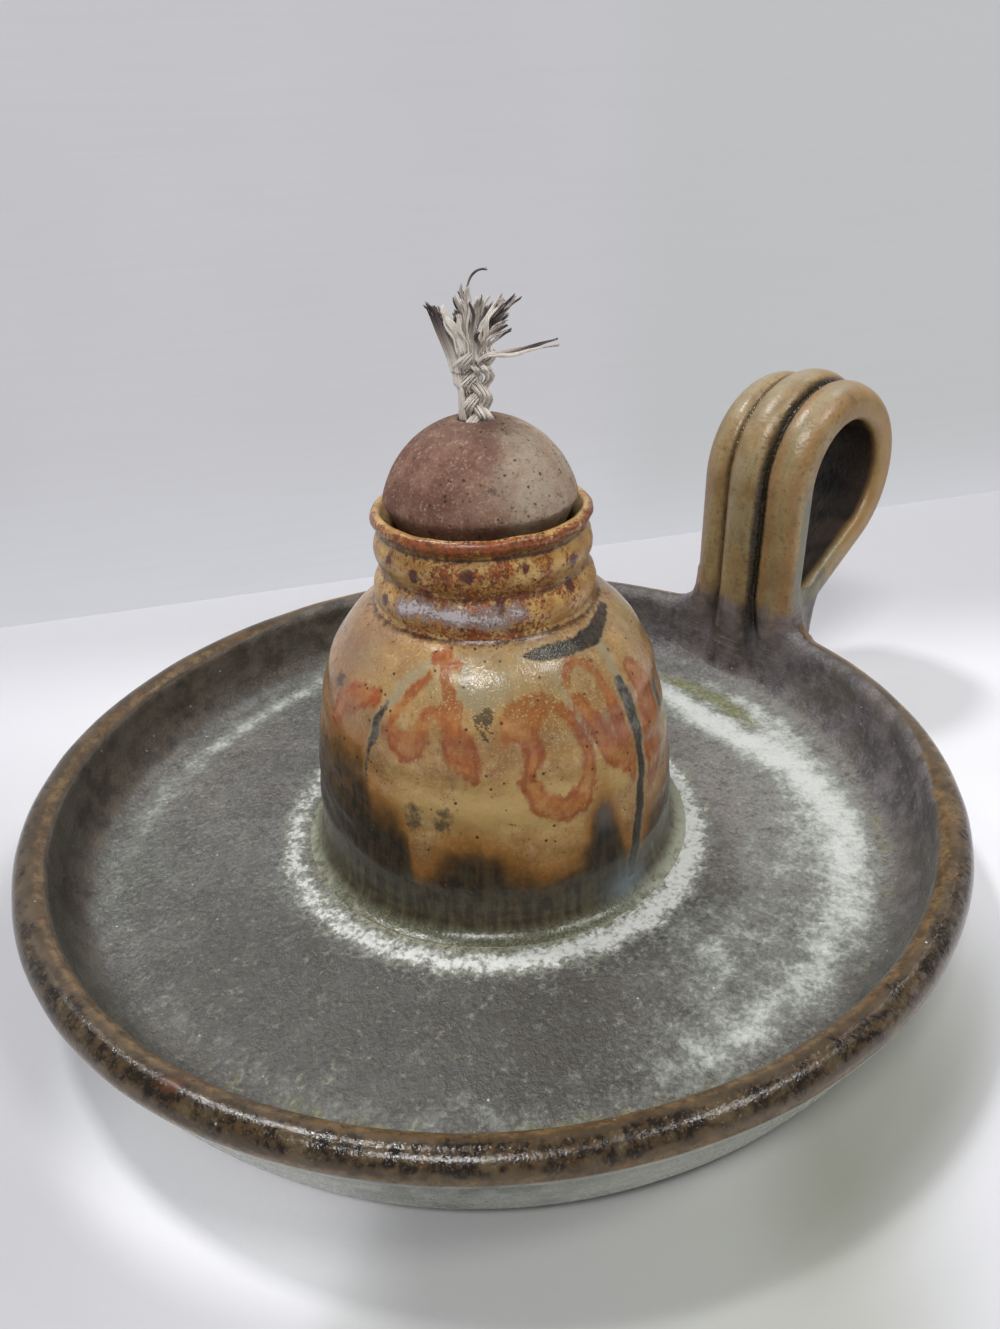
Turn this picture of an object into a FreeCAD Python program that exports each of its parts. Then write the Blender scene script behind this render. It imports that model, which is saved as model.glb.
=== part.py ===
import FreeCAD, Part
import math
import os

# A stoneware lamp on a saucer: a wheel-thrown dish with a strap handle at its rim,
# an oil reservoir luted to the middle of the dish, an unglazed stopper in its mouth,
# and a plaited wick through the stopper. Millimetres, +Z up. The origin is the middle
# of the flat foot on the table, and the handle stands at +X.

V = FreeCAD.Vector
UP = V(0, 0, 1)
SIDEWAYS = V(0, 1, 0)

# Dish
dish_radius = 82.5              # outermost point of the rolled rim
rim_roll_radius = 2.9
rim_centre_height = 18.3        # middle of the roll, above the table
rim_outer_angle = -70.0         # where the outer wall runs into the roll
rim_inner_angle = 200.0         # where the roll runs into the well
foot_inset = 9.1                # from the rim back to the edge of the flat foot
foot_bevel = 1.2
outer_wall_bow = 0.7            # how far the outer wall swells between foot and rim
floor_height = 7.0              # glazed floor of the well, above the table
well_inset = 6.3                # from the rim back to the inner face of the wall
well_fillet = 7.0               # sweep from the floor up to the wall

# Reservoir, with heights above the floor of the dish
reservoir_off_x = 0.78          # it was luted a little off the middle of the dish
reservoir_off_y = -0.63
base_radius = 36.2              # clay smeared out over the floor of the dish
base_fillet = 3.6
belly_height = 33.8             # where the shoulder starts
shoulder_radius = 28.8
belly_bow = 1.0
neck_foot_radius = 19.4         # where the shoulder meets the neck
neck_foot_height = 46.4
shoulder_bow = 1.4
neck_radius = 17.3
ring_half_height = 1.9          # each throwing ring on the neck
low_ring_height = 48.7
low_ring_radius = 18.9
high_ring_height = 54.5
high_ring_radius = 18.3
lip_radius = 18.4               # outermost point of the rolled lip
lip_roll_radius = 1.25
lip_height = 62.2
lip_outer_angle = -80.0
lip_inner_angle = 205.0
reservoir_wall = 4.0
reservoir_floor = 4.0
inner_fillet = 3.0

# Stopper and its seat in the mouth
stopper_radius = 15.75          # the arris between the dome and the taper
stopper_arris_height = 63.8     # above the floor of the dish
dome_height = 12.5
stopper_taper_angle = 24.0      # from the axis
spigot_radius = 10.9
spigot_length = 3.4
spigot_chamfer = 0.8
spigot_clearance = 0.9          # between the spigot and the bore of the neck
seat_clearance = 0.3            # between the taper and the seat, square to both
seat_height = 4.0
seat_round_bow = 0.5

# Wick
wick_diameter = 5.6
wick_clearance = 0.3            # round the wick in the bore of the stopper
wick_tail_gap = 5.0             # from the end of the tail to the reservoir's floor
braid_rise = 6.5                # plaited stretch that stands above the dome
tuft_radius = 7.5
tuft_height = 13.8
tuft_neck_share = 0.12          # of its height, still as thin as the wick
tuft_belly_share = 0.62         # of its height, where it is widest
tuft_crown_share = 0.90
tuft_crown_radius_share = 0.6

# Strap handle: a pulled strap of three ribs, bent over into a finger loop
strap_width = 25.0
strap_left_rib = 7.6            # widths of the ribs; the right one takes the rest
strap_mid_rib = 9.2
strap_side_crest = 3.2          # crests of the ribs above the middle line of the strap
strap_mid_crest = 4.8
strap_groove_floor = 1.9        # bottoms of the two grooves above the middle line
strap_back = 4.3                # flat back below the middle line
strap_back_round = 1.9
leg_inset = 2.2                 # from the middle of the rim's roll back to the leg's middle line
leg_foot_rise = 11.7            # above the middle of the roll, where the root starts to spread
leg_lean = 1.0                  # degrees
leg_length = 22.4
loop_front_radius = 17.1
loop_back_radius = 17.0
return_radius = 17.3
return_sweep = 58.0             # degrees
return_run = 17.0
heel_radius = 7.0
heel_sweep = 56.0

# Root of the handle over the rim, with heights above or below the middle of the rim's roll
root_flare_rise = 5.7
root_flare_width_share = 1.10
root_rim_rise = 1.2
root_rim_width_share = 1.36
root_end_drop = 6.8
root_end_width_share = 1.24
root_end_thickness_share = 0.50
root_end_depth = 1.9            # its middle line lies this far inside the well's wall
heel_rim_drop = 0.8
heel_rim_inset = 0.5            # from the end of the heel's bend in towards the wall
heel_end_drop = 7.8
heel_end_depth = 1.6            # inside the outer wall of the dish
heel_end_thickness_share = 0.55
web_inset = 1.0                 # the clay between the two legs stands back from the edges
web_rise = 13.2
web_hollow = 2.0                # how far its top edge is scooped out


def arc(start, through, end):
    return Part.Arc(start, through, end).toShape()


def line(start, end):
    return Part.LineSegment(start, end).toShape()


def around(centre, radius, degrees):
    """The point of a circle in the XZ plane."""
    angle = math.radians(degrees)
    return V(centre.x + radius * math.cos(angle), centre.y, centre.z + radius * math.sin(angle))


def beside(start, end, depth):
    """The middle of a chord in the XZ plane, moved to the right of the way from start to end."""
    along = (end - start).normalize()
    return (start + end) * 0.5 + V(along.z, 0, -along.x) * depth


def bowed(start, end, depth):
    return arc(start, beside(start, end, depth), end)


def circle_centre(a, b, c):
    return arc(a, b, c).Curve.Center


def inset(point, centre, depth):
    return point + (centre - point).normalize() * depth


def turned(edges):
    """A closed outline in the XZ plane, turned about the Z axis."""
    face = Part.Face(Part.Wire(edges))
    return face.revolve(V(0, 0, 0), UP, 360)


def on_reservoir_axis(shape):
    shape.translate(V(reservoir_off_x, reservoir_off_y, 0))
    return shape


# Walls of the dish, shared by the dish and the roots of the handle
foot_radius = dish_radius - foot_inset
well_radius = dish_radius - well_inset
rim_centre = V(dish_radius - rim_roll_radius, 0, rim_centre_height)
rim_out = around(rim_centre, rim_roll_radius, rim_outer_angle)
foot_out = V(foot_radius + foot_bevel, 0, foot_bevel)
wall_middle = well_radius + root_end_depth


def make_dish():
    axis_foot = V(0, 0, 0)
    foot_edge = V(foot_radius, 0, 0)
    rim_top = around(rim_centre, rim_roll_radius, 90)
    rim_in = around(rim_centre, rim_roll_radius, rim_inner_angle)
    wall_foot = V(well_radius, 0, floor_height + well_fillet)
    floor_edge = V(well_radius - well_fillet, 0, floor_height)
    fillet_centre = V(floor_edge.x, 0, wall_foot.z)
    floor_middle = V(0, 0, floor_height)
    return turned([
        line(axis_foot, foot_edge),
        line(foot_edge, foot_out),
        bowed(foot_out, rim_out, outer_wall_bow),
        arc(rim_out, rim_top, rim_in),
        line(rim_in, wall_foot),
        arc(wall_foot, around(fillet_centre, well_fillet, -45), floor_edge),
        line(floor_edge, floor_middle),
        line(floor_middle, axis_foot),
    ])


# Heights of the reservoir above the table
arris_height = floor_height + stopper_arris_height
taper_slope = math.tan(math.radians(stopper_taper_angle))
seat_offset = seat_clearance / math.cos(math.radians(stopper_taper_angle))
neck_bore = spigot_radius + spigot_clearance


def taper_height(radius):
    """The height at which the stopper's taper has this radius."""
    return arris_height - (stopper_radius - radius) / taper_slope


def ring_edges(radius, height):
    """One throwing ring: a low swelling round the neck, drawn upwards."""
    middle = floor_height + height
    low = V(neck_radius, 0, middle - ring_half_height)
    high = V(neck_radius, 0, middle + ring_half_height)
    return low, high, arc(low, V(radius, 0, middle), high)


def reservoir_outside():
    """The outline from the middle of the underside up to the lip's inner edge."""
    bottom_middle = V(0, 0, floor_height)
    base_edge = V(base_radius, 0, floor_height)
    belly_foot = V(base_radius - base_fillet, 0, floor_height + base_fillet)
    fillet_centre = V(base_edge.x, 0, belly_foot.z)
    shoulder = V(shoulder_radius, 0, floor_height + belly_height)
    neck_foot = V(neck_foot_radius, 0, floor_height + neck_foot_height)
    low_a, low_b, low_ring = ring_edges(low_ring_radius, low_ring_height)
    high_a, high_b, high_ring = ring_edges(high_ring_radius, high_ring_height)
    lip_centre = V(lip_radius - lip_roll_radius, 0, floor_height + lip_height - lip_roll_radius)
    lip_out = around(lip_centre, lip_roll_radius, lip_outer_angle)
    lip_in = around(lip_centre, lip_roll_radius, lip_inner_angle)
    edges = [
        line(bottom_middle, base_edge),
        arc(base_edge, around(fillet_centre, base_fillet, 225), belly_foot),
        bowed(belly_foot, shoulder, belly_bow),
        bowed(shoulder, neck_foot, shoulder_bow),
        line(neck_foot, low_a),
        low_ring,
        line(low_b, high_a),
        high_ring,
        line(high_b, lip_out),
        arc(lip_out, around(lip_centre, lip_roll_radius, 90), lip_in),
    ]
    return edges, belly_foot, shoulder, neck_foot, lip_in


def make_reservoir():
    edges, belly_foot, shoulder, neck_foot, lip_in = reservoir_outside()
    belly_middle = beside(belly_foot, shoulder, belly_bow)
    belly_centre = circle_centre(belly_foot, belly_middle, shoulder)
    shoulder_middle = beside(shoulder, neck_foot, shoulder_bow)
    shoulder_centre = circle_centre(shoulder, shoulder_middle, neck_foot)

    seat_foot = V(neck_bore, 0, taper_height(neck_bore - seat_offset))
    seat_top = V(neck_bore + seat_height * taper_slope, 0, seat_foot.z + seat_height)
    bore_foot = V(neck_bore, 0, inset(neck_foot, shoulder_centre, reservoir_wall).z)
    ceiling = inset(neck_foot, shoulder_centre, reservoir_wall)
    inner_shoulder = inset(shoulder, belly_centre, reservoir_wall)
    inner_shoulder_middle = inset(shoulder_middle, shoulder_centre, reservoir_wall)
    inner_belly_middle = inset(belly_middle, belly_centre, reservoir_wall)
    cavity_floor = floor_height + reservoir_floor
    inner_foot = V(belly_foot.x - reservoir_wall, 0, cavity_floor + inner_fillet)
    fillet_centre = V(inner_foot.x - inner_fillet, 0, inner_foot.z)
    inner_floor = V(fillet_centre.x, 0, cavity_floor)
    floor_middle = V(0, 0, cavity_floor)
    edges += [
        bowed(lip_in, seat_top, -seat_round_bow),
        line(seat_top, seat_foot),
        line(seat_foot, bore_foot),
        line(bore_foot, ceiling),
        arc(ceiling, inner_shoulder_middle, inner_shoulder),
        arc(inner_shoulder, inner_belly_middle, inner_foot),
        arc(inner_foot, around(fillet_centre, inner_fillet, -45), inner_floor),
        line(inner_floor, floor_middle),
        line(floor_middle, V(0, 0, floor_height)),
    ]
    return on_reservoir_axis(turned(edges))


wick_bore = wick_diameter / 2 + wick_clearance
spigot_top = taper_height(spigot_radius)
spigot_bottom = spigot_top - spigot_length
dome_radius = (stopper_radius ** 2 + dome_height ** 2) / (2 * dome_height)
dome_centre_height = arris_height + dome_height - dome_radius


def dome_point(radius):
    """The point of the dome at this distance from its axis."""
    return V(radius, 0, dome_centre_height + math.sqrt(dome_radius ** 2 - radius ** 2))


def make_stopper():
    arris = V(stopper_radius, 0, arris_height)
    dome_top = dome_point(wick_bore)
    spigot_high = V(spigot_radius, 0, spigot_top)
    spigot_low = V(spigot_radius, 0, spigot_bottom + spigot_chamfer)
    spigot_end = V(spigot_radius - spigot_chamfer, 0, spigot_bottom)
    bore_low = V(wick_bore, 0, spigot_bottom)
    return on_reservoir_axis(turned([
        line(bore_low, spigot_end),
        line(spigot_end, spigot_low),
        line(spigot_low, spigot_high),
        line(spigot_high, arris),
        arc(arris, dome_point((arris.x + dome_top.x) / 2), dome_top),
        line(dome_top, bore_low),
    ]))


dome_top_height = arris_height + dome_height
braid_top = dome_top_height + braid_rise
tail_end = floor_height + reservoir_floor + wick_tail_gap


def make_wick_length(bottom, top):
    """A plain straight stretch of the wick between two heights."""
    return on_reservoir_axis(Part.makeCylinder(wick_diameter / 2, top - bottom, V(0, 0, bottom)))


def make_wick_tuft():
    """The outer shape of the frayed end: thin at its foot, widest near its crown."""
    foot = V(wick_diameter / 2, 0, braid_top)
    neck = V(foot.x, 0, braid_top + tuft_height * tuft_neck_share)
    belly = V(tuft_radius, 0, braid_top + tuft_height * tuft_belly_share)
    crown = V(tuft_radius * tuft_crown_radius_share, 0, braid_top + tuft_height * tuft_crown_share)
    top = V(0, 0, braid_top + tuft_height)
    return on_reservoir_axis(turned([
        line(V(0, 0, braid_top), foot),
        line(foot, neck),
        line(neck, belly),
        line(belly, crown),
        line(crown, top),
        line(top, V(0, 0, braid_top)),
    ]))


def strap_section(middle, across, width_share=1.0, thickness_share=1.0):
    """The strap's outline round a point of its middle line. across points out of its ribbed face."""
    half = strap_width / 2
    left_groove = half - strap_left_rib
    right_groove = left_groove - strap_mid_rib
    corner = strap_back_round * (1 - math.sqrt(0.5))
    corner_out = corner - strap_back
    side_end = strap_back_round - strap_back

    def at(side, out):
        return middle + SIDEWAYS * (side * width_share) + across * (out * thickness_share)

    left, right = at(half, 0), at(-half, 0)
    left_low, right_low = at(half, side_end), at(-half, side_end)
    groove_a, groove_b = at(left_groove, strap_groove_floor), at(right_groove, strap_groove_floor)
    back_right = at(-half + strap_back_round, -strap_back)
    back_left = at(half - strap_back_round, -strap_back)
    return Part.Wire([
        arc(left, at((half + left_groove) / 2, strap_side_crest), groove_a),
        arc(groove_a, at((left_groove + right_groove) / 2, strap_mid_crest), groove_b),
        arc(groove_b, at((right_groove - half) / 2, strap_side_crest), right),
        line(right, right_low),
        arc(right_low, at(-half + corner, corner_out), back_right),
        line(back_right, back_left),
        arc(back_left, at(half - corner, corner_out), left_low),
        line(left_low, left),
    ])


def strap_path():
    """Middle line of the strap: a leg, three arcs over the loop, a run back and a bend to the rim."""
    lean = math.radians(leg_lean)
    leg_way = V(math.sin(lean), 0, math.cos(lean))
    leg_foot = V(rim_centre.x - leg_inset, 0, rim_centre.z + leg_foot_rise)
    leg_top = leg_foot + leg_way * leg_length
    bends = [
        (loop_front_radius, -(90 - leg_lean)),
        (loop_back_radius, -90.0),
        (return_radius, -return_sweep),
        (0, return_run),
        (heel_radius, heel_sweep),
    ]
    edges = [line(leg_foot, leg_top)]
    point, way = leg_top, leg_way
    for radius, amount in bends:
        if radius == 0:
            end = point + way * amount
            edges.append(line(point, end))
            point = end
            continue
        side = V(-way.z, 0, way.x) * (1 if amount > 0 else -1)
        centre = point + side * radius
        start = math.degrees(math.atan2(point.z - centre.z, point.x - centre.x))
        middle = around(centre, radius, start + amount / 2)
        end = around(centre, radius, start + amount)
        edges.append(arc(point, middle, end))
        turn = math.radians(amount)
        way = V(way.x * math.cos(turn) - way.z * math.sin(turn), 0,
                way.x * math.sin(turn) + way.z * math.cos(turn))
        point = end
    return edges, leg_foot, leg_way, point, way


def outward(way):
    """The ribbed face lies to the left of the way along the strap."""
    return V(-way.z, 0, way.x)


def make_front_root(leg_foot, leg_way):
    """The foot of the leg, spread over the rim and smeared down the wall of the well."""
    across = outward(leg_way)
    inner = V(-1, 0, 0)
    flare = V(leg_foot.x, 0, rim_centre.z + root_flare_rise)
    rim = V(leg_foot.x, 0, rim_centre.z + root_rim_rise)
    end = V(wall_middle, 0, rim_centre.z - root_end_drop)
    return Part.makeLoft([
        strap_section(leg_foot, across),
        strap_section(flare, inner, root_flare_width_share),
        strap_section(rim, inner, root_rim_width_share),
        strap_section(end, inner, root_end_width_share, root_end_thickness_share),
    ], True, False)


def make_heel_root(heel, way):
    """The end of the strap, pressed onto the outside of the rim."""
    end_height = rim_centre.z - heel_end_drop
    wall_share = (end_height - foot_out.z) / (rim_out.z - foot_out.z)
    wall_radius = foot_out.x + (rim_out.x - foot_out.x) * wall_share
    rim = V(heel.x - heel_rim_inset, 0, rim_centre.z - heel_rim_drop)
    end = V(wall_radius - heel_end_depth, 0, end_height)
    outer = V(1, 0, 0)
    return Part.makeLoft([
        strap_section(heel, outward(way)),
        strap_section(rim, outer),
        strap_section(end, outer, 1.0, heel_end_thickness_share),
    ], True, True)


def make_web(leg_foot, heel):
    """Clay between the two legs under the finger loop, scooped out along its top edge."""
    half = strap_width / 2 - web_inset
    top = rim_centre.z + web_rise
    bottom = rim_centre.z + root_rim_rise
    top_front = V(leg_foot.x, -half, top)
    top_back = V(heel.x + strap_back, -half, top)
    low_back = V(heel.x, -half, bottom)
    low_front = V(leg_foot.x, -half, bottom)
    scoop = bowed(top_front, top_back, web_hollow)
    outline = Part.Wire([
        scoop,
        line(top_back, low_back),
        line(low_back, low_front),
        line(low_front, top_front),
    ])
    return Part.Face(outline).extrude(SIDEWAYS * (2 * half))


def make_handle(dish):
    """The strap and its two roots, which part along the middle of the dish's wall below the rim."""
    path, leg_foot, leg_way, heel, heel_way = strap_path()
    section = strap_section(leg_foot, outward(leg_way))
    strap = Part.Wire(path).makePipeShell([section], True, False)
    inside_wall = Part.makeCylinder(wall_middle, rim_centre.z)
    outside_wall = Part.makeCylinder(dish_radius + strap_width, rim_centre.z).cut(inside_wall)
    front_root = make_front_root(leg_foot, leg_way).cut(outside_wall)
    heel_root = make_heel_root(heel, heel_way).cut(inside_wall)
    return strap.fuse([front_root, heel_root, make_web(leg_foot, heel)]).cut(dish).removeSplitter()


def save(shape, node):
    shape.exportStep(os.path.join("parts", node + ".step"))
    print(node, "valid", shape.isValid(), "solids", len(shape.Solids), "volume", round(shape.Volume, 1))


dish = make_dish()
save(dish, "dish")
save(make_reservoir(), "reservoir")
save(make_handle(dish), "handle")
save(make_stopper(), "stopper")
save(make_wick_length(tail_end, spigot_bottom), "wick_tail")
save(make_wick_length(spigot_bottom, braid_top), "wick_braid")
save(make_wick_tuft(), "wick_tuft")
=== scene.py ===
"""Looks of a wheel-thrown stoneware oil lamp on a saucer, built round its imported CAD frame.

Lengths in this script are millimetres until mesh_object() turns them into metres.
"""

import math

import bpy
import numpy as np
import openvdb
from mathutils import Matrix, Vector


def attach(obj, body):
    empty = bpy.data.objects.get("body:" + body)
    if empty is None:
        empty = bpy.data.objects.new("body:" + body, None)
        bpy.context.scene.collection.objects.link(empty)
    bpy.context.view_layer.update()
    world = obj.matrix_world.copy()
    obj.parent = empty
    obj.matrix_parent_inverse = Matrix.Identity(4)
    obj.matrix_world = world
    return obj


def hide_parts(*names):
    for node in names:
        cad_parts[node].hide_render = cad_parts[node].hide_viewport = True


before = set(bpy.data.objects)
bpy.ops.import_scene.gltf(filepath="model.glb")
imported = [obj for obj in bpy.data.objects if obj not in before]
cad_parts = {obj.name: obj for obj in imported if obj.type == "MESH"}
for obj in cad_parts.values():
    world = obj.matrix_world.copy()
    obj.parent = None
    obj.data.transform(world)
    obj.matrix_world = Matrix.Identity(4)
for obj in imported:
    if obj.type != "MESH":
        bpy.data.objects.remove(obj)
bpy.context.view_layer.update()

MM = 0.001
TURN = 2 * math.pi

# Camera: where it stands from the dish's axis, in a frame whose x runs to the picture's right.
PICTURE_TURN = math.radians(-39.0)   # from that frame to the CAD frame, about Z
CAMERA_BACK = 147.03
CAMERA_HEIGHT = 120.15
CAMERA_PITCH = 0.50423
CAMERA_YAW = 0.019188
CAMERA_ROLL = -0.047131
SENSOR_HEIGHT = 36.0
FOCAL_LENGTH = 950.0 / 1329.0 * SENSOR_HEIGHT
NEAR_SIDE = PICTURE_TURN - math.pi / 2   # azimuth of the side that faces the camera

# Sizes that the looks share with the solids
RIM_ROLL = 2.9
RIM_R, RIM_Z = 79.6, 18.3
FOOT_R = 73.4
WELL_R = 76.2
FLOOR_Z = 7.0
POT_X, POT_Y = 0.78, -0.63
STOPPER_TOP = 83.3
BRAID_TOP = 89.8
PLAIT_TOP = 92.8
SPIGOT_BOTTOM = 56.46
TAIL_END = 16.0

# How finely the round pieces are cut, all round
DISH_SEGMENTS = 400
POT_SEGMENTS = 320
STOPPER_SEGMENTS = 240


def smooth(x, low, high):
    """0 at low and 1 at high, smooth between; low may be the greater of the two."""
    t = np.clip((x - low) / (high - low), 0, 1)
    return t * t * (3 - 2 * t)


def hump(x, centre, width):
    return np.exp(-(((x - centre) / width) ** 2))


def waver(angle, seed, low=1, high=7):
    """A wandering line round the axis, mostly between -1 and 1."""
    rng = np.random.default_rng(seed)
    total, weight = 0.0, 0.0
    for k in range(low, high + 1):
        size = rng.uniform(0.4, 1.0) / math.sqrt(k)
        total = total + size * np.cos(k * angle + rng.uniform(0, TURN))
        weight += size * size / 2
    return total / (1.7 * math.sqrt(weight))


def wrapped(degrees):
    return (degrees + 180) % 360 - 180


# Meshes


def mesh_object(name, points, faces, material, body, marks=None):
    """points in millimetres; marks are named numbers per point that the material reads."""
    mesh = bpy.data.meshes.new(name)
    mesh.from_pydata((points * MM).tolist(), [], faces)
    mesh.polygons.foreach_set("use_smooth", np.ones(len(mesh.polygons), dtype=bool))
    for key, values in (marks or {}).items():
        layer = mesh.attributes.new(key, "FLOAT", "POINT")
        layer.data.foreach_set("value", np.asarray(values, dtype=np.float32))
    mesh.materials.append(material)
    mesh.update()
    piece = bpy.data.objects.new(name, mesh)
    bpy.context.scene.collection.objects.link(piece)
    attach(piece, body)
    return piece


def straight(a, b, step):
    count = max(1, round(math.dist(a, b) / step))
    return [np.array(a) + (np.array(b) - np.array(a)) * i / count for i in range(count)]


def bowed(a, b, bow, step):
    """From a up to b, not counting b, swelling by bow to the right of the way."""
    a, b = np.array(a, float), np.array(b, float)
    chord = math.dist(a, b)
    if abs(bow) < 1e-6:
        return straight(a, b, step)
    radius = (chord * chord / 4 + bow * bow) / (2 * bow)
    way = (b - a) / chord
    right = np.array([way[1], -way[0]])
    centre = (a + b) / 2 + right * (bow - radius)
    half = math.asin(max(-1, min(1, chord / 2 / radius)))
    count = max(2, round(chord / step))
    turns = np.linspace(-half, half, count + 1)[:-1]
    return [centre + radius * (right * math.cos(t) + way * math.sin(t)) for t in turns]


def rolled(centre, radius, start, end, step):
    count = max(3, round(abs(math.radians(end - start)) * radius / step))
    turns = np.radians(np.linspace(start, end, count + 1)[:-1])
    return [np.array([centre[0] + radius * math.cos(t), centre[1] + radius * math.sin(t)]) for t in turns]


def on_roll(centre, radius, degrees):
    t = math.radians(degrees)
    return (centre[0] + radius * math.cos(t), centre[1] + radius * math.sin(t))


def softened(profile, passes):
    profile = np.array(profile)
    for _ in range(passes):
        inner = (profile[:-2] + 2 * profile[1:-1] + profile[2:]) / 4
        profile = np.vstack([profile[:1], inner, profile[-1:]])
    return profile


def lathe(profile, segments, move):
    """Turns a profile whose two ends lie on the axis. move(r, z, angle) gives the shifts
    outwards and upwards that make it look thrown by hand. Returns points, faces and the grids."""
    profile = np.array(profile)
    along = np.concatenate([[0], np.cumsum(np.hypot(*np.diff(profile, axis=0).T))])
    angle = np.arange(segments) * TURN / segments
    r, a = np.meshgrid(profile[1:-1, 0], angle, indexing="ij")
    z, s = np.meshgrid(profile[1:-1, 1], angle, indexing="ij")[0], np.repeat(along[1:-1, None], segments, 1)
    shift_r, shift_z = move(r, z, a)
    ring = np.stack([(r + shift_r) * np.cos(a), (r + shift_r) * np.sin(a), z + shift_z], -1)
    rows = len(ring)
    points = np.vstack([ring.reshape(-1, 3), [[0, 0, profile[0, 1]], [0, 0, profile[-1, 1]]]])
    i, j = np.meshgrid(np.arange(rows - 1), np.arange(segments), indexing="ij")
    k = (j + 1) % segments
    quads = np.stack([i * segments + j, i * segments + k, (i + 1) * segments + k, (i + 1) * segments + j],
                     -1)
    faces = quads.reshape(-1, 4).tolist()
    first, last, top = len(points) - 2, len(points) - 1, (rows - 1) * segments
    for j in range(segments):
        k = (j + 1) % segments
        faces.append([first, k, j])
        faces.append([last, top + j, top + k])
    ends = ((r, 0, 0), (z, profile[0, 1], profile[-1, 1]), (a, 0, 0), (s, 0, along[-1]))
    return points, faces, *(np.concatenate([grid.reshape(-1), tips]) for grid, *tips in ends)


def polygon_field(outline, low, high, step):
    """Signed distance to a closed outline on a grid, negative inside, and a function that reads it."""
    us, vs = np.arange(low[0], high[0] + step, step), np.arange(low[1], high[1] + step, step)
    u, v = np.meshgrid(us, vs, indexing="ij")
    best = np.full(u.shape, 1e9)
    inside = np.zeros(u.shape, bool)
    for (au, av), (bu, bv) in zip(outline, np.roll(outline, -1, axis=0)):
        du, dv = bu - au, bv - av
        t = np.clip(((u - au) * du + (v - av) * dv) / (du * du + dv * dv + 1e-12), 0, 1)
        best = np.minimum(best, np.hypot(u - au - t * du, v - av - t * dv))
        if av != bv:
            inside ^= ((av > v) != (bv > v)) & (u < au + (v - av) * du / (bv - av))
    field = np.where(inside, -best, best)

    def read(x, y):
        fx = np.clip((x - low[0]) / step, 0, len(us) - 1.001)
        fy = np.clip((y - low[1]) / step, 0, len(vs) - 1.001)
        ix, iy = fx.astype(int), fy.astype(int)
        tx, ty = fx - ix, fy - iy
        return ((field[ix, iy] * (1 - tx) + field[ix + 1, iy] * tx) * (1 - ty)
                + (field[ix, iy + 1] * (1 - tx) + field[ix + 1, iy + 1] * tx) * ty)

    return read


def melt(a, b, k):
    """The union of two fields, with a fillet about k wide where they meet."""
    near = np.clip(k - np.abs(a - b), 0, None) / np.maximum(k, 1e-6)
    return np.minimum(a, b) - near * near * k / 4


# Materials


def srgb(code):
    parts = [int(code[i:i + 2], 16) / 255 for i in (0, 2, 4)]
    return tuple(c / 12.92 if c <= 0.04045 else ((c + 0.055) / 1.055) ** 2.4 for c in parts) + (1.0,)


NOISE_SHIFT = Vector((37.1, -21.7, 11.3))   # how far apart two seeds look into the same noise
CELL_SHIFT = Vector((17.3, 41.9, -29.1))


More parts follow.
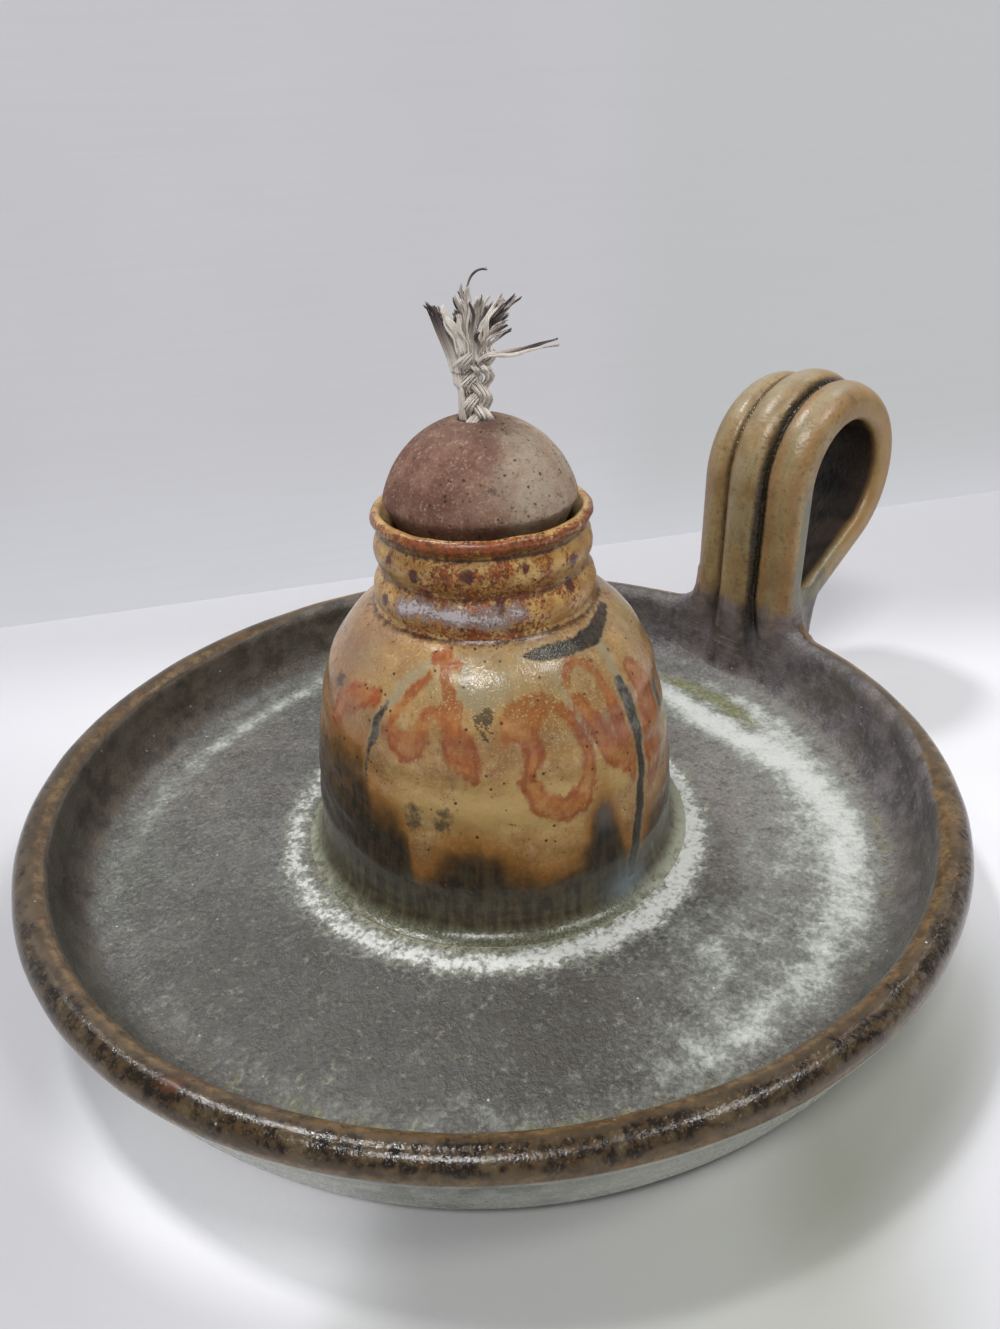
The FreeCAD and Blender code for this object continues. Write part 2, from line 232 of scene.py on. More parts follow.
class Paint:
    """One material's nodes. Its place is the object's own coordinates in millimetres."""

    def __init__(self, name, x=0.0, y=0.0):
        self.material = bpy.data.materials.new(name)
        self.material.use_nodes = True
        self.nodes = self.material.node_tree.nodes
        self.links = self.material.node_tree.links
        self.shader = self.nodes["Principled BSDF"]
        where = self.nodes.new("ShaderNodeTexCoord").outputs["Object"]
        millimetres = self.vector("SCALE", where, scale=1 / MM)
        self.place = self.vector("SUBTRACT", millimetres, (x, y, 0))
        self.x, self.y, self.z = self.apart(self.place)
        self.radius = self.math("SQRT", self.plus(self.both(self.x, self.x), self.both(self.y, self.y)))
        self.cos = self.math("DIVIDE", self.x, self.radius)
        self.sin = self.math("DIVIDE", self.y, self.radius)

    def put(self, socket, value):
        if isinstance(value, bpy.types.NodeSocket):
            self.links.new(value, socket)
        else:
            socket.default_value = srgb(value) if isinstance(value, str) else value

    def math(self, operation, a, b=0.0, clamp=False):
        node = self.nodes.new("ShaderNodeMath")
        node.operation = operation
        node.use_clamp = clamp
        self.put(node.inputs[0], a)
        self.put(node.inputs[1], b)
        return node.outputs[0]

    def vector(self, operation, a, b=(0, 0, 0), scale=1.0):
        node = self.nodes.new("ShaderNodeVectorMath")
        node.operation = operation
        self.put(node.inputs[0], a)
        if operation == "SCALE":
            self.put(node.inputs["Scale"], scale)
        else:
            self.put(node.inputs[1], b)
        return node.outputs[0]

    def apart(self, vector):
        node = self.nodes.new("ShaderNodeSeparateXYZ")
        self.put(node.inputs[0], vector)
        return node.outputs

    def together(self, x, y, z):
        node = self.nodes.new("ShaderNodeCombineXYZ")
        for socket, value in zip(node.inputs, (x, y, z)):
            self.put(socket, value)
        return node.outputs[0]

    def mark(self, name):
        node = self.nodes.new("ShaderNodeAttribute")
        node.attribute_name = name
        return node.outputs["Fac"]

    def noise(self, size, detail, rough, seed=0.0, at=None):
        """Cloudy numbers round 0.5, whose patches are about size millimetres across."""
        node = self.nodes.new("ShaderNodeTexNoise")
        spot = self.vector("ADD", self.place if at is None else at, seed * NOISE_SHIFT)
        self.put(node.inputs["Vector"], spot)
        node.inputs["Scale"].default_value = 1.0 / size
        node.inputs["Detail"].default_value = detail
        node.inputs["Roughness"].default_value = rough
        return node.outputs["Fac"]

    def cells(self, size, seed):
        """Distance to the nearest of points about size millimetres apart, and a random number for each."""
        node = self.nodes.new("ShaderNodeTexVoronoi")
        self.put(node.inputs["Vector"], self.vector("ADD", self.place, seed * CELL_SHIFT))
        node.inputs["Scale"].default_value = 1.0 / size
        return node.outputs["Distance"], self.apart(node.outputs["Color"])[0]

    def step(self, value, low, high):
        """0 below low and 1 above high, smooth between; with low above high it falls instead."""
        node = self.nodes.new("ShaderNodeMapRange")
        node.interpolation_type = "SMOOTHSTEP"
        self.put(node.inputs["Value"], value)
        if low <= high:
            bounds, ends = (low, high), (0.0, 1.0)
        else:
            bounds, ends = (high, low), (1.0, 0.0)
        node.inputs["From Min"].default_value, node.inputs["From Max"].default_value = bounds
        node.inputs["To Min"].default_value, node.inputs["To Max"].default_value = ends
        return node.outputs["Result"]

    def both(self, a, b):
        return self.math("MULTIPLY", a, b)

    def area(self, first, *others):
        """Where all the steps hold, each given as value, low and high."""
        share = self.step(*first)
        for other in others:
            share = self.both(share, self.step(*other))
        return share

    def plus(self, a, b, times=1.0):
        return self.math("ADD", a, self.both(b, times) if times != 1.0 else b)

    def ragged(self, value, noise, amount):
        """A mark, or another number, whose outline the noise breaks up by amount."""
        value = self.mark(value) if isinstance(value, str) else value
        return self.plus(value, self.both(self.plus(noise, -0.5), amount))

    def over(self, color, value, low, high, share, coat):
        """A coat laid over the colour where value is beyond low, in full beyond high, and share opaque."""
        return self.mix(self.both(self.step(value, low, high), share), color, coat)

    def tint(self, color, value, share, coat):
        return self.mix(self.both(value, share), color, coat)

    def blend(self, value, low, high, a, b):
        """The colour a where value is before low, b beyond high, and both between."""
        return self.mix(self.step(value, low, high), a, b)

    def mix(self, share, a, b):
        node = self.nodes.new("ShaderNodeMix")
        node.data_type = "RGBA"
        node.clamp_factor = True
        self.put(node.inputs["Factor"], share)
        self.put(node.inputs[6], a)
        self.put(node.inputs[7], b)
        return node.outputs[2]

    def number(self, share, a, b):
        node = self.nodes.new("ShaderNodeMix")
        self.put(node.inputs[0], share)
        self.put(node.inputs[2], a)
        self.put(node.inputs[3], b)
        return node.outputs[0]

    def streaks(self, across, down, run, detail, rough, seed=0.0, radius=55.0):
        """Noise drawn out along run: patches about across millimetres wide and down millimetres long."""
        wide, deep = self.both(self.cos, radius / across), self.both(self.sin, radius / across)
        return self.noise(1.0, detail, rough, seed,
                          self.together(wide, deep, self.math("DIVIDE", run, down)))

    def bump(self, height, depth):
        """height in millimetres times depth."""
        node = self.nodes.new("ShaderNodeBump")
        node.inputs["Strength"].default_value = 1.0
        node.inputs["Distance"].default_value = depth * MM
        self.put(node.inputs["Height"], height)
        self.put(self.shader.inputs["Normal"], node.outputs["Normal"])

    def finish(self, color, roughness, gloss=0.5):
        self.put(self.shader.inputs["Base Color"], color)
        self.put(self.shader.inputs["Roughness"], roughness)
        self.put(self.shader.inputs["Specular IOR Level"], gloss)
        return self.material


# Dish


def dish_profile(step):
    foot_out = (FOOT_R + 1.2, 1.2)
    rim = (RIM_R, RIM_Z)
    rim_out, rim_in = on_roll(rim, RIM_ROLL, -70), on_roll(rim, RIM_ROLL, 200)
    wall_foot, floor_edge = (WELL_R, FLOOR_Z + 7.0), (WELL_R - 7.0, FLOOR_Z)
    rows = straight((0, 0), (FOOT_R - 6, 0), 4 * step)
    rows += straight((FOOT_R - 6, 0), (FOOT_R, 0), step)
    rows += straight((FOOT_R, 0), foot_out, step / 2)
    rows += bowed(foot_out, rim_out, 0.7, step)
    rows += rolled(rim, RIM_ROLL, -70, 200, step * 0.6)
    rows += straight(rim_in, wall_foot, step)
    rows += rolled((floor_edge[0], wall_foot[1]), 7.0, 0, -90, step)
    rows += straight(floor_edge, (33.0, FLOOR_Z), step)
    rows += straight((33.0, FLOOR_Z), (0, FLOOR_Z), 4 * step)
    rows.append(np.array([0, FLOOR_Z]))
    return softened(rows, 2)


def dish_shape(r, z, angle):
    """Throwing marks of the dish: slow waves in the rim, rings in the well and on the outer wall."""
    height = smooth(z, 2, 16) * smooth(r, 70, 76)
    out = (0.20 * waver(angle, 3, 2, 5) - 0.05) * height
    up = 0.22 * waver(angle, 4, 2, 6) * smooth(z, 10, 18)
    well = smooth(z, 6.5, 6.9) * smooth(r, 38, 44) * (1 - smooth(r, 70, 74))
    up = up + well * (0.03 * np.sin(r * TURN / 5.2 + angle) + 0.05 * waver(angle + r / 9, 5, 2, 9))
    outer = smooth(r, 74.5, 75) * (1 - smooth(z, 14, 16)) * smooth(z, 1.5, 3)
    out = out + outer * 0.10 * np.sin(z * TURN / 3.3 + angle)
    lip = smooth(z, 17, 18.5)
    out = out + lip * 0.06 * waver(angle * 3, 6, 3, 14)
    up = up + lip * 0.05 * waver(angle * 3 + 1, 7, 3, 14)
    return out, up


# The milky arc round the well: degrees to the right of the near side, radius, width and strength
MILKY_ARC = ((-180, 65, 4.0, 0.50), (-150, 67.5, 3.4, 0.66), (-135, 65.4, 3.2, 0.76),
             (-124, 64.7, 3.2, 0.78), (-111, 65.9, 3.2, 0.72), (-98, 67.2, 3.4, 0.60),
             (-88, 67.9, 3.4, 0.42), (-74, 69.0, 3.2, 0.20), (-60, 67.0, 3.0, 0.12), (-20, 66.3, 3.0, 0.20),
             (8, 66.3, 3.2, 0.40), (40, 65.5, 4.2, 0.60), (60, 65.8, 5.0, 0.88), (80, 64.5, 5.4, 1.05),
             (92, 62.5, 5.2, 1.12), (102, 59.5, 5.0, 1.18), (112, 56.0, 4.8, 1.22), (122, 54.8, 4.6, 1.22),
             (135, 57, 4.6, 1.0), (150, 62, 4.0, 0.6), (180, 66, 3.5, 0.26))

# Strength; degrees and width round the well; radius and width across it
HAZE_PATCHES = ((0.38, 30, 13, 60, 8), (0.45, 41, 9, 49, 9), (0.50, 72, 30, 54, 9),
                (0.85, 114, 20, 66.5, 4.6))
MOSS_PATCHES = ((1.1, 119, 8, 63.0, 3.0), (0.9, 133, 7, 63.5, 3.0), (0.5, 76, 22, 71.5, 1.8),
                (0.55, 0, 50, 69.0, 2.6), (0.5, 110, 60, 40.5, 1.6))


def from_near(angle):
    """Degrees round the axis: 0 towards the camera, 90 to its right."""
    return wrapped(np.degrees(angle) - math.degrees(NEAR_SIDE))


def beside(side, middle, width):
    return hump(wrapped(side - middle), 0, width)


def facing(side, middle, low, high):
    """0 to 1 by how squarely a place faces the middle: low and high are cosines."""
    return smooth(np.cos(np.radians(side - middle)), low, high)


def patches(r, side, rows):
    return sum(share * beside(side, at, wide) * hump(r, far, deep) for share, at, wide, far, deep in rows)


def well_marks(r, z, angle, side):
    """The rings round the reservoir's foot, the milky arc under the wall, and painted light and shade on the
    floor.
    """
    def around(middle, width):
        return beside(side, middle, width)

    level = (z < FLOOR_Z + 5).astype(float)
    ring_r = 38.7 + 0.5 * waver(angle, 11, 1, 6) + 0.7 * around(50, 22) - 1.4 * around(100, 30)
    ring_r = ring_r - 1.6 * around(-90, 40)
    ring = hump(r, ring_r, 2.9 + 0.9 * around(48, 35)) * (0.93 + 0.13 * np.cos(np.radians(side - 60)))
    cream = hump(r, ring_r - 3.5, 2.1) * (0.35 + 0.65 * around(40, 70))
    pool = (1 - smooth(r, ring_r - 6.4, ring_r - 4.2)) * smooth(r, 30, 32) * (0.4 + 0.6 * around(0, 50))
    degrees, radii, widths, shares = np.array(MILKY_ARC).T
    arc_r = np.interp(side, degrees, radii) + 0.6 * waver(angle, 12, 1, 5)
    haze = np.interp(side, degrees, shares) * hump(r, arc_r, np.interp(side, degrees, widths))
    haze = haze * (1 + 0.1 * waver(angle, 13, 2, 9)) * (1 - 0.6 * around(13, 9))
    haze = haze + patches(r, side, HAZE_PATCHES)
    # Painted shade: the floor darker in front of the reservoir and towards the near left.
    shade = (0.9 * around(9, 17) + 0.45 * around(-45, 45)) * smooth(r, 41, 45) * (1 - smooth(r, 64, 71))
    # light is painted light, the floor paler to the right of the reservoir; shade is painted shade.
    return {"ring": ring * level, "cream": cream * level, "pool": pool * level, "haze": haze * level,
            "moss": patches(r, side, MOSS_PATCHES), "shade": shade, "light": around(92, 42)}


def rim_marks(r, z, side):
    """Where the glaze breaks over the rim; turn is the angle round the roll, 0 outwards and 90 up."""
    turn = np.degrees(np.arctan2(z - RIM_Z, r - RIM_R))
    over = (z > 14.5) * (r > 74)
    back = facing(side, 150, 0.05, 0.65)
    inmost = 160 - 50 * back
    lip = 0.9 * hump(turn, -2, 17) + hump(turn, 127, 22) * (1 - back)
    lip = lip + 0.75 * hump(turn, 62, 45) * beside(side, 74, 24)
    crown = hump(turn, 60, 42) * (0.50 + 0.50 * facing(side, 15, -0.25, 0.75)) * (1 - 0.6 * back)
    outside = (turn > -115) & (turn < 10) & ~((turn > 0) & (r < RIM_R)) & (z < 17.5)
    return {"rim": over * smooth(turn, -40, -5) * (1 - smooth(turn, inmost - 24, inmost + 4)),
            "lip": over * np.clip(lip, 0, 1),
            "gold": over * back * hump(turn, 32 + 40 * facing(side, 165, 0.1, 0.8), 24),
            "crown": over * crown * (1 - 0.5 * beside(side, 76, 28)),
            "lilac": over * hump(turn, 50, 30) * beside(side, 62, 30),
            "scorch": over * hump(turn, 84, 26) * beside(side, -31, 1.9),
            "outside": outside.astype(float)}


def dish_marks(r, z, angle):
    """Where each glaze effect of the dish lies, and where light and shade are painted on it, as numbers that
    the material makes ragged.
    """
    side = from_near(angle)
    marks = {**well_marks(r, z, angle, side), **rim_marks(r, z, side)}
    marks.update(wall=smooth(r + (z - FLOOR_Z) * 0.5, 70.0, 76.5) * (z > 6),
                 right=facing(side, 90, -0.1, 0.7),
                 root=beside(side, 131, 13) * smooth(r, 70, 74), bare=smooth(-z, -1.6, -0.6),
                 # flank: where the outer wall is painted lighter, painted light as if thrown up from the
                 # table.
                 flank=(1 - beside(side, -4, 10)) * facing(side, 0, 0.1, 0.7),
                 # front also gives the floor painted shade on its near side.
                 front=facing(side, 0, 0.2, 0.8))
    return marks


def dish_floor_color(p, run, grain, fleck):
    """Satin grey, softly mottled, with milky crystals where the glaze pooled, and painted light and shade on
    the floor.
    """
    warm, cool = p.noise(24, 3, 0.5, 1), p.noise(11, 4, 0.6, 3)
    grey = p.blend(cool, 0.38, 0.64, "5b5a57", "6f6e6a")
    grey = p.over(grey, warm, 0.44, 0.64, 0.40, "756e69")
    grey = p.over(grey, warm, 0.46, 0.30, 0.40, "5d645b")
    # Painted light: the floor paler to the right of the reservoir.
    grey = p.tint(grey, p.mark("light"), 0.60, "89837f")
    grey = p.over(grey, p.noise(3, 4, 0.65, 72), 0.48, 0.64, 0.50, "504d49")
    grey = p.over(grey, grain, 0.52, 0.62, 0.55, "8f8e89")
    grey = p.over(grey, grain, 0.48, 0.38, 0.62, "3f3d39")
    # Painted shade: the floor darker in front of the reservoir.
    grey = p.tint(grey, p.mark("shade"), 0.85, "403e39")
    # Painted shade: the floor darker on its near side.
    grey = p.tint(grey, p.mark("front"), 0.45, "42403a")
    for size, seed, low, reach, share in ((3.8, 1, 0.64, 0.08, 0.50), (2.1, 8, 0.74, 0.10, 0.40)):
        gap, pick = p.cells(size, seed)
        ragged_gap = p.ragged(gap, fleck, 0.30)
        grey = p.tint(grey, p.area((ragged_gap, 0.26, reach), (pick, low, low + 0.08)), share, "373530")

    cloud = p.plus(p.both(p.noise(4.0, 4, 0.62, 74), 0.65), p.streaks(3.0, 7, run, 4, 0.6, 79), 0.35)
    milky = p.ragged("haze", cloud, 1.9)
    milky = p.ragged(milky, fleck, 1.5)
    color = p.over(grey, milky, 0.05, 0.80, 0.72, "8f938b")
    color = p.over(color, milky, 0.42, 1.35, 0.92, "d2d5d1")
    moss = p.ragged("moss", p.noise(3.6, 4, 0.65, 5), 1.9)
    color = p.over(color, moss, 0.30, 0.95, 0.78, p.blend(fleck, 0.4, 0.6, "666944", "8d8b60"))
    pool = p.blend(p.noise(2.2, 3, 0.6, 21), 0.4, 0.62, "4b4f3d", "777a5f")
    color = p.mix(p.mark("pool"), color, pool)
    frill = p.plus(p.both(p.streaks(1.0, 1.5, run, 4, 0.7, 76, 39.0), 0.3), fleck, 0.7)
    cream = p.ragged("cream", frill, 3.4)
    color = p.over(color, cream, 0.20, 0.95, 0.88, "aea67b")
    ring = p.ragged("ring", frill, 2.5)
    ring = p.ragged(ring, p.noise(3.2, 3, 0.6, 75), 1.1)
    color = p.over(color, ring, 0.16, 0.66, 0.80, "9c9e90")
    color = p.over(color, ring, 0.46, 1.12, 0.95, "e0e2dd")
    return color, milky, ring


def dish_wall_color(p, run):
    brown = p.blend(p.noise(6, 4, 0.55, 6), 0.36, 0.64, "433c34", "645b50")
    brown = p.over(brown, p.noise(15, 3, 0.5, 7), 0.46, 0.62, 0.6, "625d53")
    plum = p.blend(p.noise(5, 4, 0.6, 8), 0.36, 0.64, "4e494a", "736d6d")
    plum = p.over(plum, p.noise(1.4, 4, 0.68, 22), 0.52, 0.66, 0.45, "8a8586")
    plum = p.over(plum, p.noise(12, 3, 0.5, 77), 0.52, 0.66, 0.5, "5c5649")
    olive = p.blend(p.noise(5, 4, 0.55, 78), 0.36, 0.64, "4a4b42", "66675d")
    wall = p.mix(p.mark("right"), brown, plum)
    wall = p.tint(wall, p.mark("front"), 0.8, olive)
    flute = p.plus(p.both(p.streaks(2.6, 30, run, 3, 0.55, 25), 0.5), p.noise(4, 4, 0.6, 29), 0.5)
    return p.tint(wall, p.mark("root"), 0.75, p.blend(flute, 0.40, 0.60, "332c2b", "756b6a"))


def dish_rim_color(p, color, fine):
    """Brown where the glaze breaks over the rim, dark and mottled along its crown."""
    rim = p.blend(p.noise(7, 3, 0.6, 12), 0.4, 0.6, "463a2a", "5c4c38")
    color = p.blend(p.ragged("rim", fine, 0.5), 0.2, 0.8, color, rim)
    tan = p.blend(p.noise(2.4, 4, 0.65, 10), 0.38, 0.64, "55432d", "836a47")
    tan = p.over(tan, p.noise(9, 2, 0.6, 23), 0.52, 0.66, 0.4, "75492b")
    tan = p.over(tan, p.noise(0.8, 4, 0.7, 11), 0.52, 0.64, 0.6, "35271a")
    lip = p.ragged("lip", p.noise(2.4, 3, 0.6, 13), 1.1)
    color = p.over(color, lip, 0.25, 0.85, 0.85, tan)
    mottle = p.plus(p.both(p.noise(1.3, 4, 0.7, 14), 0.7), p.noise(4.5, 3, 0.6, 28), 0.3)
    dark = p.blend(mottle, 0.44, 0.60, "150f0a", "4b3a25")
    dark = p.over(dark, p.noise(5, 3, 0.6, 27), 0.52, 0.64, 0.40, "6a5d44")
    dark = p.over(dark, p.noise(0.6, 3, 0.7, 15), 0.58, 0.68, 0.35, "8d7c68")
    crown = p.ragged("crown", p.noise(4.0, 4, 0.65, 16), 1.9)
    color = p.over(color, crown, 0.28, 0.72, 0.94, dark)
    lilac = p.ragged("lilac", p.noise(2.0, 3, 0.65, 24), 1.6)
    color = p.over(color, lilac, 0.35, 0.85, 0.28, p.blend(mottle, 0.4, 0.6, "35322f", "7c7a7c"))
    gold = p.ragged("gold", p.noise(2.6, 3, 0.65, 26), 1.0)
    color = p.over(color, gold, 0.25, 0.85, 0.85,
                   p.blend(p.noise(3.4, 4, 0.6, 45), 0.4, 0.62, "7a5c36", "a07f50"))
    scorch = p.ragged("scorch", p.noise(1.2, 3, 0.65, 46), 1.2)
    color = p.over(color, scorch, 0.25, 0.95, 0.65, "643a22")
    rooted = p.both(p.both(p.mark("root"), p.mark("rim")), 0.75)
    color = p.mix(rooted, color, p.blend(mottle, 0.4, 0.6, "3c3431", "6b605b"))
    return color, mottle


def dish_colors(p, run):
    """The dish's glaze, as a colour and a roughness. It also covers the foot of the handle."""
    fine, fleck = p.noise(0.40, 3, 0.65), p.noise(0.9, 4, 0.72, 73)
    grain = p.plus(p.both(p.streaks(1.0, 1.7, run, 3, 0.65), 0.3), p.noise(0.85, 4, 0.70, 71), 0.7)
    color, milky, ring = dish_floor_color(p, run, grain, fleck)
    wall_share = p.step(p.ragged("wall", p.noise(4, 3, 0.5, 9), 0.8), 0.15, 0.85)
    color = p.mix(wall_share, color, dish_wall_color(p, run))
    color, mottle = dish_rim_color(p, color, fine)
    outer = p.blend(p.noise(5, 3, 0.5, 17), 0.38, 0.62, "7a7c73", "a3a49b")
    outer = p.over(outer, p.noise(0.9, 2, 0.6, 18), 0.62, 0.72, 0.6, "43433d")
    # Painted light: the outer wall lighter on both sides of the near middle.
    outer = p.tint(outer, p.mark("flank"), 0.75, "c2c4ba")
    color = p.mix(p.mark("outside"), color, outer)
    # White specks, partly crystal grains and partly painted glints.
    gap, pick = p.cells(3.4, 2)
    speck_and_glint = p.area((gap, 0.07, 0.03), (pick, 0.6, 0.65))
    color = p.tint(color, speck_and_glint, 0.75, "e4e4e0")
    clay = p.blend(p.noise(0.8, 3, 0.6, 19), 0.3, 0.7, "6f5a4a", "8a7460")
    color = p.mix(p.mark("bare"), color, clay)

    dull = p.plus(p.both(p.step(milky, 0.2, 0.8), 0.20), p.step(ring, 0.3, 0.8), 0.20)
    rough = p.plus(p.number(wall_share, 0.25, 0.22), dull)
    rough = p.plus(rough, p.plus(mottle, -0.4), 0.35)
    rough = p.plus(rough, p.mark("pool"), -0.22)
    rough = p.number(p.mark("rim"), rough, p.plus(0.11, p.plus(mottle, -0.4), 0.22))
    rough = p.number(p.mark("bare"), rough, 0.85)
    relief = p.plus(p.noise(1.5, 4, 0.65, 20), grain, 2.1)
    relief = p.plus(relief, p.plus(p.step(ring, 0.3, 0.9), p.step(milky, 0.3, 0.9), 0.5))
    pits = p.plus(p.both(mottle, 0.7), p.noise(0.7, 3, 0.7, 102), 0.35)
    relief = p.number(p.mark("rim"), relief, pits)
    return color, rough, relief


def dish_material():
    p = Paint("dish_glaze")
    color, rough, relief = dish_colors(p, p.mark("along"))
    p.bump(relief, 0.20)
    return p.finish(color, rough)


def make_dish():
    points, faces, r, z, angle, along = lathe(dish_profile(1.1), DISH_SEGMENTS, dish_shape)
    marks = dish_marks(r, z, angle)
    marks["along"] = along
    piece = mesh_object("dish_thrown", points, faces, dish_material(), "lamp", marks)
    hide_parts("dish")
    return piece


# Handle


STRAP_HALF = 12.5
STRAP_BACK = 4.3
BACK_ROUND = 1.9
CRESTS = ((-12.5, -4.3, 3.2), (-4.3, 4.9, 4.8), (4.9, 12.5, 3.2))   # from the right rib to the left one
GROOVE = 1.9
GROOVES = (-4.3, 4.9)
FIELD_REACH = 3.0   # how far from its skin the strap's field is kept


def strap_outline():
    """Section of the strap: sideways and outwards. Each rib is a low arch between two grooves."""
    top = []
    for left, right, crest in CRESTS:
        floor_left = 0.0 if left == -STRAP_HALF else GROOVE
        floor_right = 0.0 if right == STRAP_HALF else GROOVE
        for t in np.linspace(0, 1, 22)[:-1]:
            base = floor_left + (floor_right - floor_left) * t
            lift = (crest - (floor_left + floor_right) / 2) * (1 - (2 * t - 1) ** 2) ** 0.62
            top.append((left + (right - left) * t, base + lift))
    top.append((STRAP_HALF, 0.0))
    turns = np.linspace(0, math.pi / 2, 8)
    low = BACK_ROUND - STRAP_BACK
    right = [(STRAP_HALF - BACK_ROUND * (1 - math.cos(t)), low - BACK_ROUND * math.sin(t)) for t in turns]
    left = [(-x, y) for x, y in right[::-1]]
    return np.array(top + right + left)


def strap_line():
    """Middle line of the strap from the foot of its leg to its heel, in the XZ plane, with its directions."""
    step = 0.5
    lean = math.radians(1.0)
    point = np.array([RIM_R - 2.2, RIM_Z + 11.7])
    way = np.array([math.sin(lean), math.cos(lean)])
    runs = [(0, 22.4), (17.1, -89.0), (17.0, -90.0), (17.3, -58.0), (0, 17.0), (7.0, 56.0)]
    rows = [(point[0], point[1], way[0], way[1])]
    for radius, amount in runs:
        length = amount if radius == 0 else radius * abs(math.radians(amount))
        count = round(length / step)
        bend = 0.0 if radius == 0 else math.radians(amount) / count
        for _ in range(count):
            half = np.array([way[0] * math.cos(bend / 2) - way[1] * math.sin(bend / 2),
                             way[0] * math.sin(bend / 2) + way[1] * math.cos(bend / 2)])
            point = point + half * length / count
            way = np.array([way[0] * math.cos(bend) - way[1] * math.sin(bend),
                            way[0] * math.sin(bend) + way[1] * math.cos(bend)])
            rows.append((point[0], point[1], way[0], way[1]))
    return np.array(rows)


def extended(line, front, back):
    """The middle line with straight or given points before and after it."""
    pieces = []
    for points in (front, None, back):
        if points is None:
            pieces.append(line)
            continue
        points = np.array(points, float)
        ways = np.gradient(points, axis=0)
        ways /= np.linalg.norm(ways, axis=1)[:, None]
        pieces.append(np.hstack([points, ways]))
    return np.vstack(pieces)


def nearest(line, x, z):
    """For points of the XZ plane: where along the line, how far to its left, how far beyond its ends."""
    best = np.full(x.shape, 1e9)
    left, index = np.zeros(x.shape), np.zeros(x.shape)
    for i, (px, pz, wx, wz) in enumerate(line):
        dx, dz = x - px, z - pz
        gap = dx * dx + dz * dz
        closer = gap < best
        best = np.where(closer, gap, best)
        left = np.where(closer, -dx * wz + dz * wx, left)
        index = np.where(closer, i, index)
    past = np.sqrt(np.maximum(best - left * left, 0))
    return index, left, past


class Strap:
    """The handle as a field, so that its legs, its web and the rim melt into each other like soft clay."""

    def __init__(self):
        line = strap_line()
        foot, heel = line[0], line[-1]
        down = [(foot[0] - 0.1 * i / 24 - 1.9 * smooth(i, 8, 24), foot[1] - 0.82 * i)
                for i in range(26, 0, -1)]
        out = [(heel[0] - 0.1 * i - 4.5 * smooth(i, 8, 24), heel[1] - 0.55 * i) for i in range(1, 25)]
        self.line = extended(line, down, out)
        self.top = int(np.argmax(self.line[:, 1]))
        self.lowest = len(down)
        self.section = polygon_field(strap_outline(), (-22, -12), (22, 14), 0.15)
        self.dish = polygon_field(dish_profile(0.8), (55, -2), (90, 30), 0.25)

    def spread(self, index, front):
        """Wider and thinner where the clay is smeared over the rim and down the wall."""
        if front:
            fall = np.clip((self.lowest + 2 - index) / 26, 0, 1)
            return 1 + 0.50 * smooth(fall, 0.10, 0.95), 1 - 0.66 * smooth(fall, 0.35, 1.0)
        rise = np.clip((index - (len(self.line) - 24)) / 24, 0, 1)
        return 1 + 0.10 * smooth(rise, 0.1, 1), 1 - 0.45 * smooth(rise, 0.4, 1)

    def branch(self, x, y, z, front):
        """x and z are one plane's grid and y runs across it."""
        line = self.line[:self.top + 14] if front else self.line[self.top - 14:]
        index, left, past = nearest(line, x, z)
        if not front:
            index = index + self.top - 14
        wide, thick = self.spread(index, front)
        shape = (slice(None),) * x.ndim + (None,)
        wide, thick, left, past = (v[shape] if x.ndim < y.ndim else v for v in (wide, thick, left, past))
        inside = self.section(y / wide, left / thick) * np.minimum(wide, thick)
        return np.where(past > 0.6, np.hypot(np.maximum(inside, 0), past) + np.minimum(inside, 0), inside)

    def field(self, x, y, z):
        front, back = self.branch(x, y, z, True), self.branch(x, y, z, False)
        shape = (slice(None),) * x.ndim + (None,)
        gx, gz = (x[shape], z[shape]) if x.ndim < y.ndim else (x, z)
        web = np.maximum(np.maximum(np.abs(y) - 11.3, np.maximum(77 - gx, gx - 86)),
                         np.maximum(gz - 29.5, 14 - gz))
        body = melt(front, back, 3.2 * (1 - smooth(gz, 44, 56)))
        body = melt(body, web, 2.6)
        ground = self.dish(np.hypot(gx, y), gz)
        blended = melt(body, ground + 0.22, 4.2 - 1.8 * smooth(-gz, -24, -16) * (gx < 80))
        return np.maximum(np.maximum(blended, -(ground + 1.5)), body - 5.0)


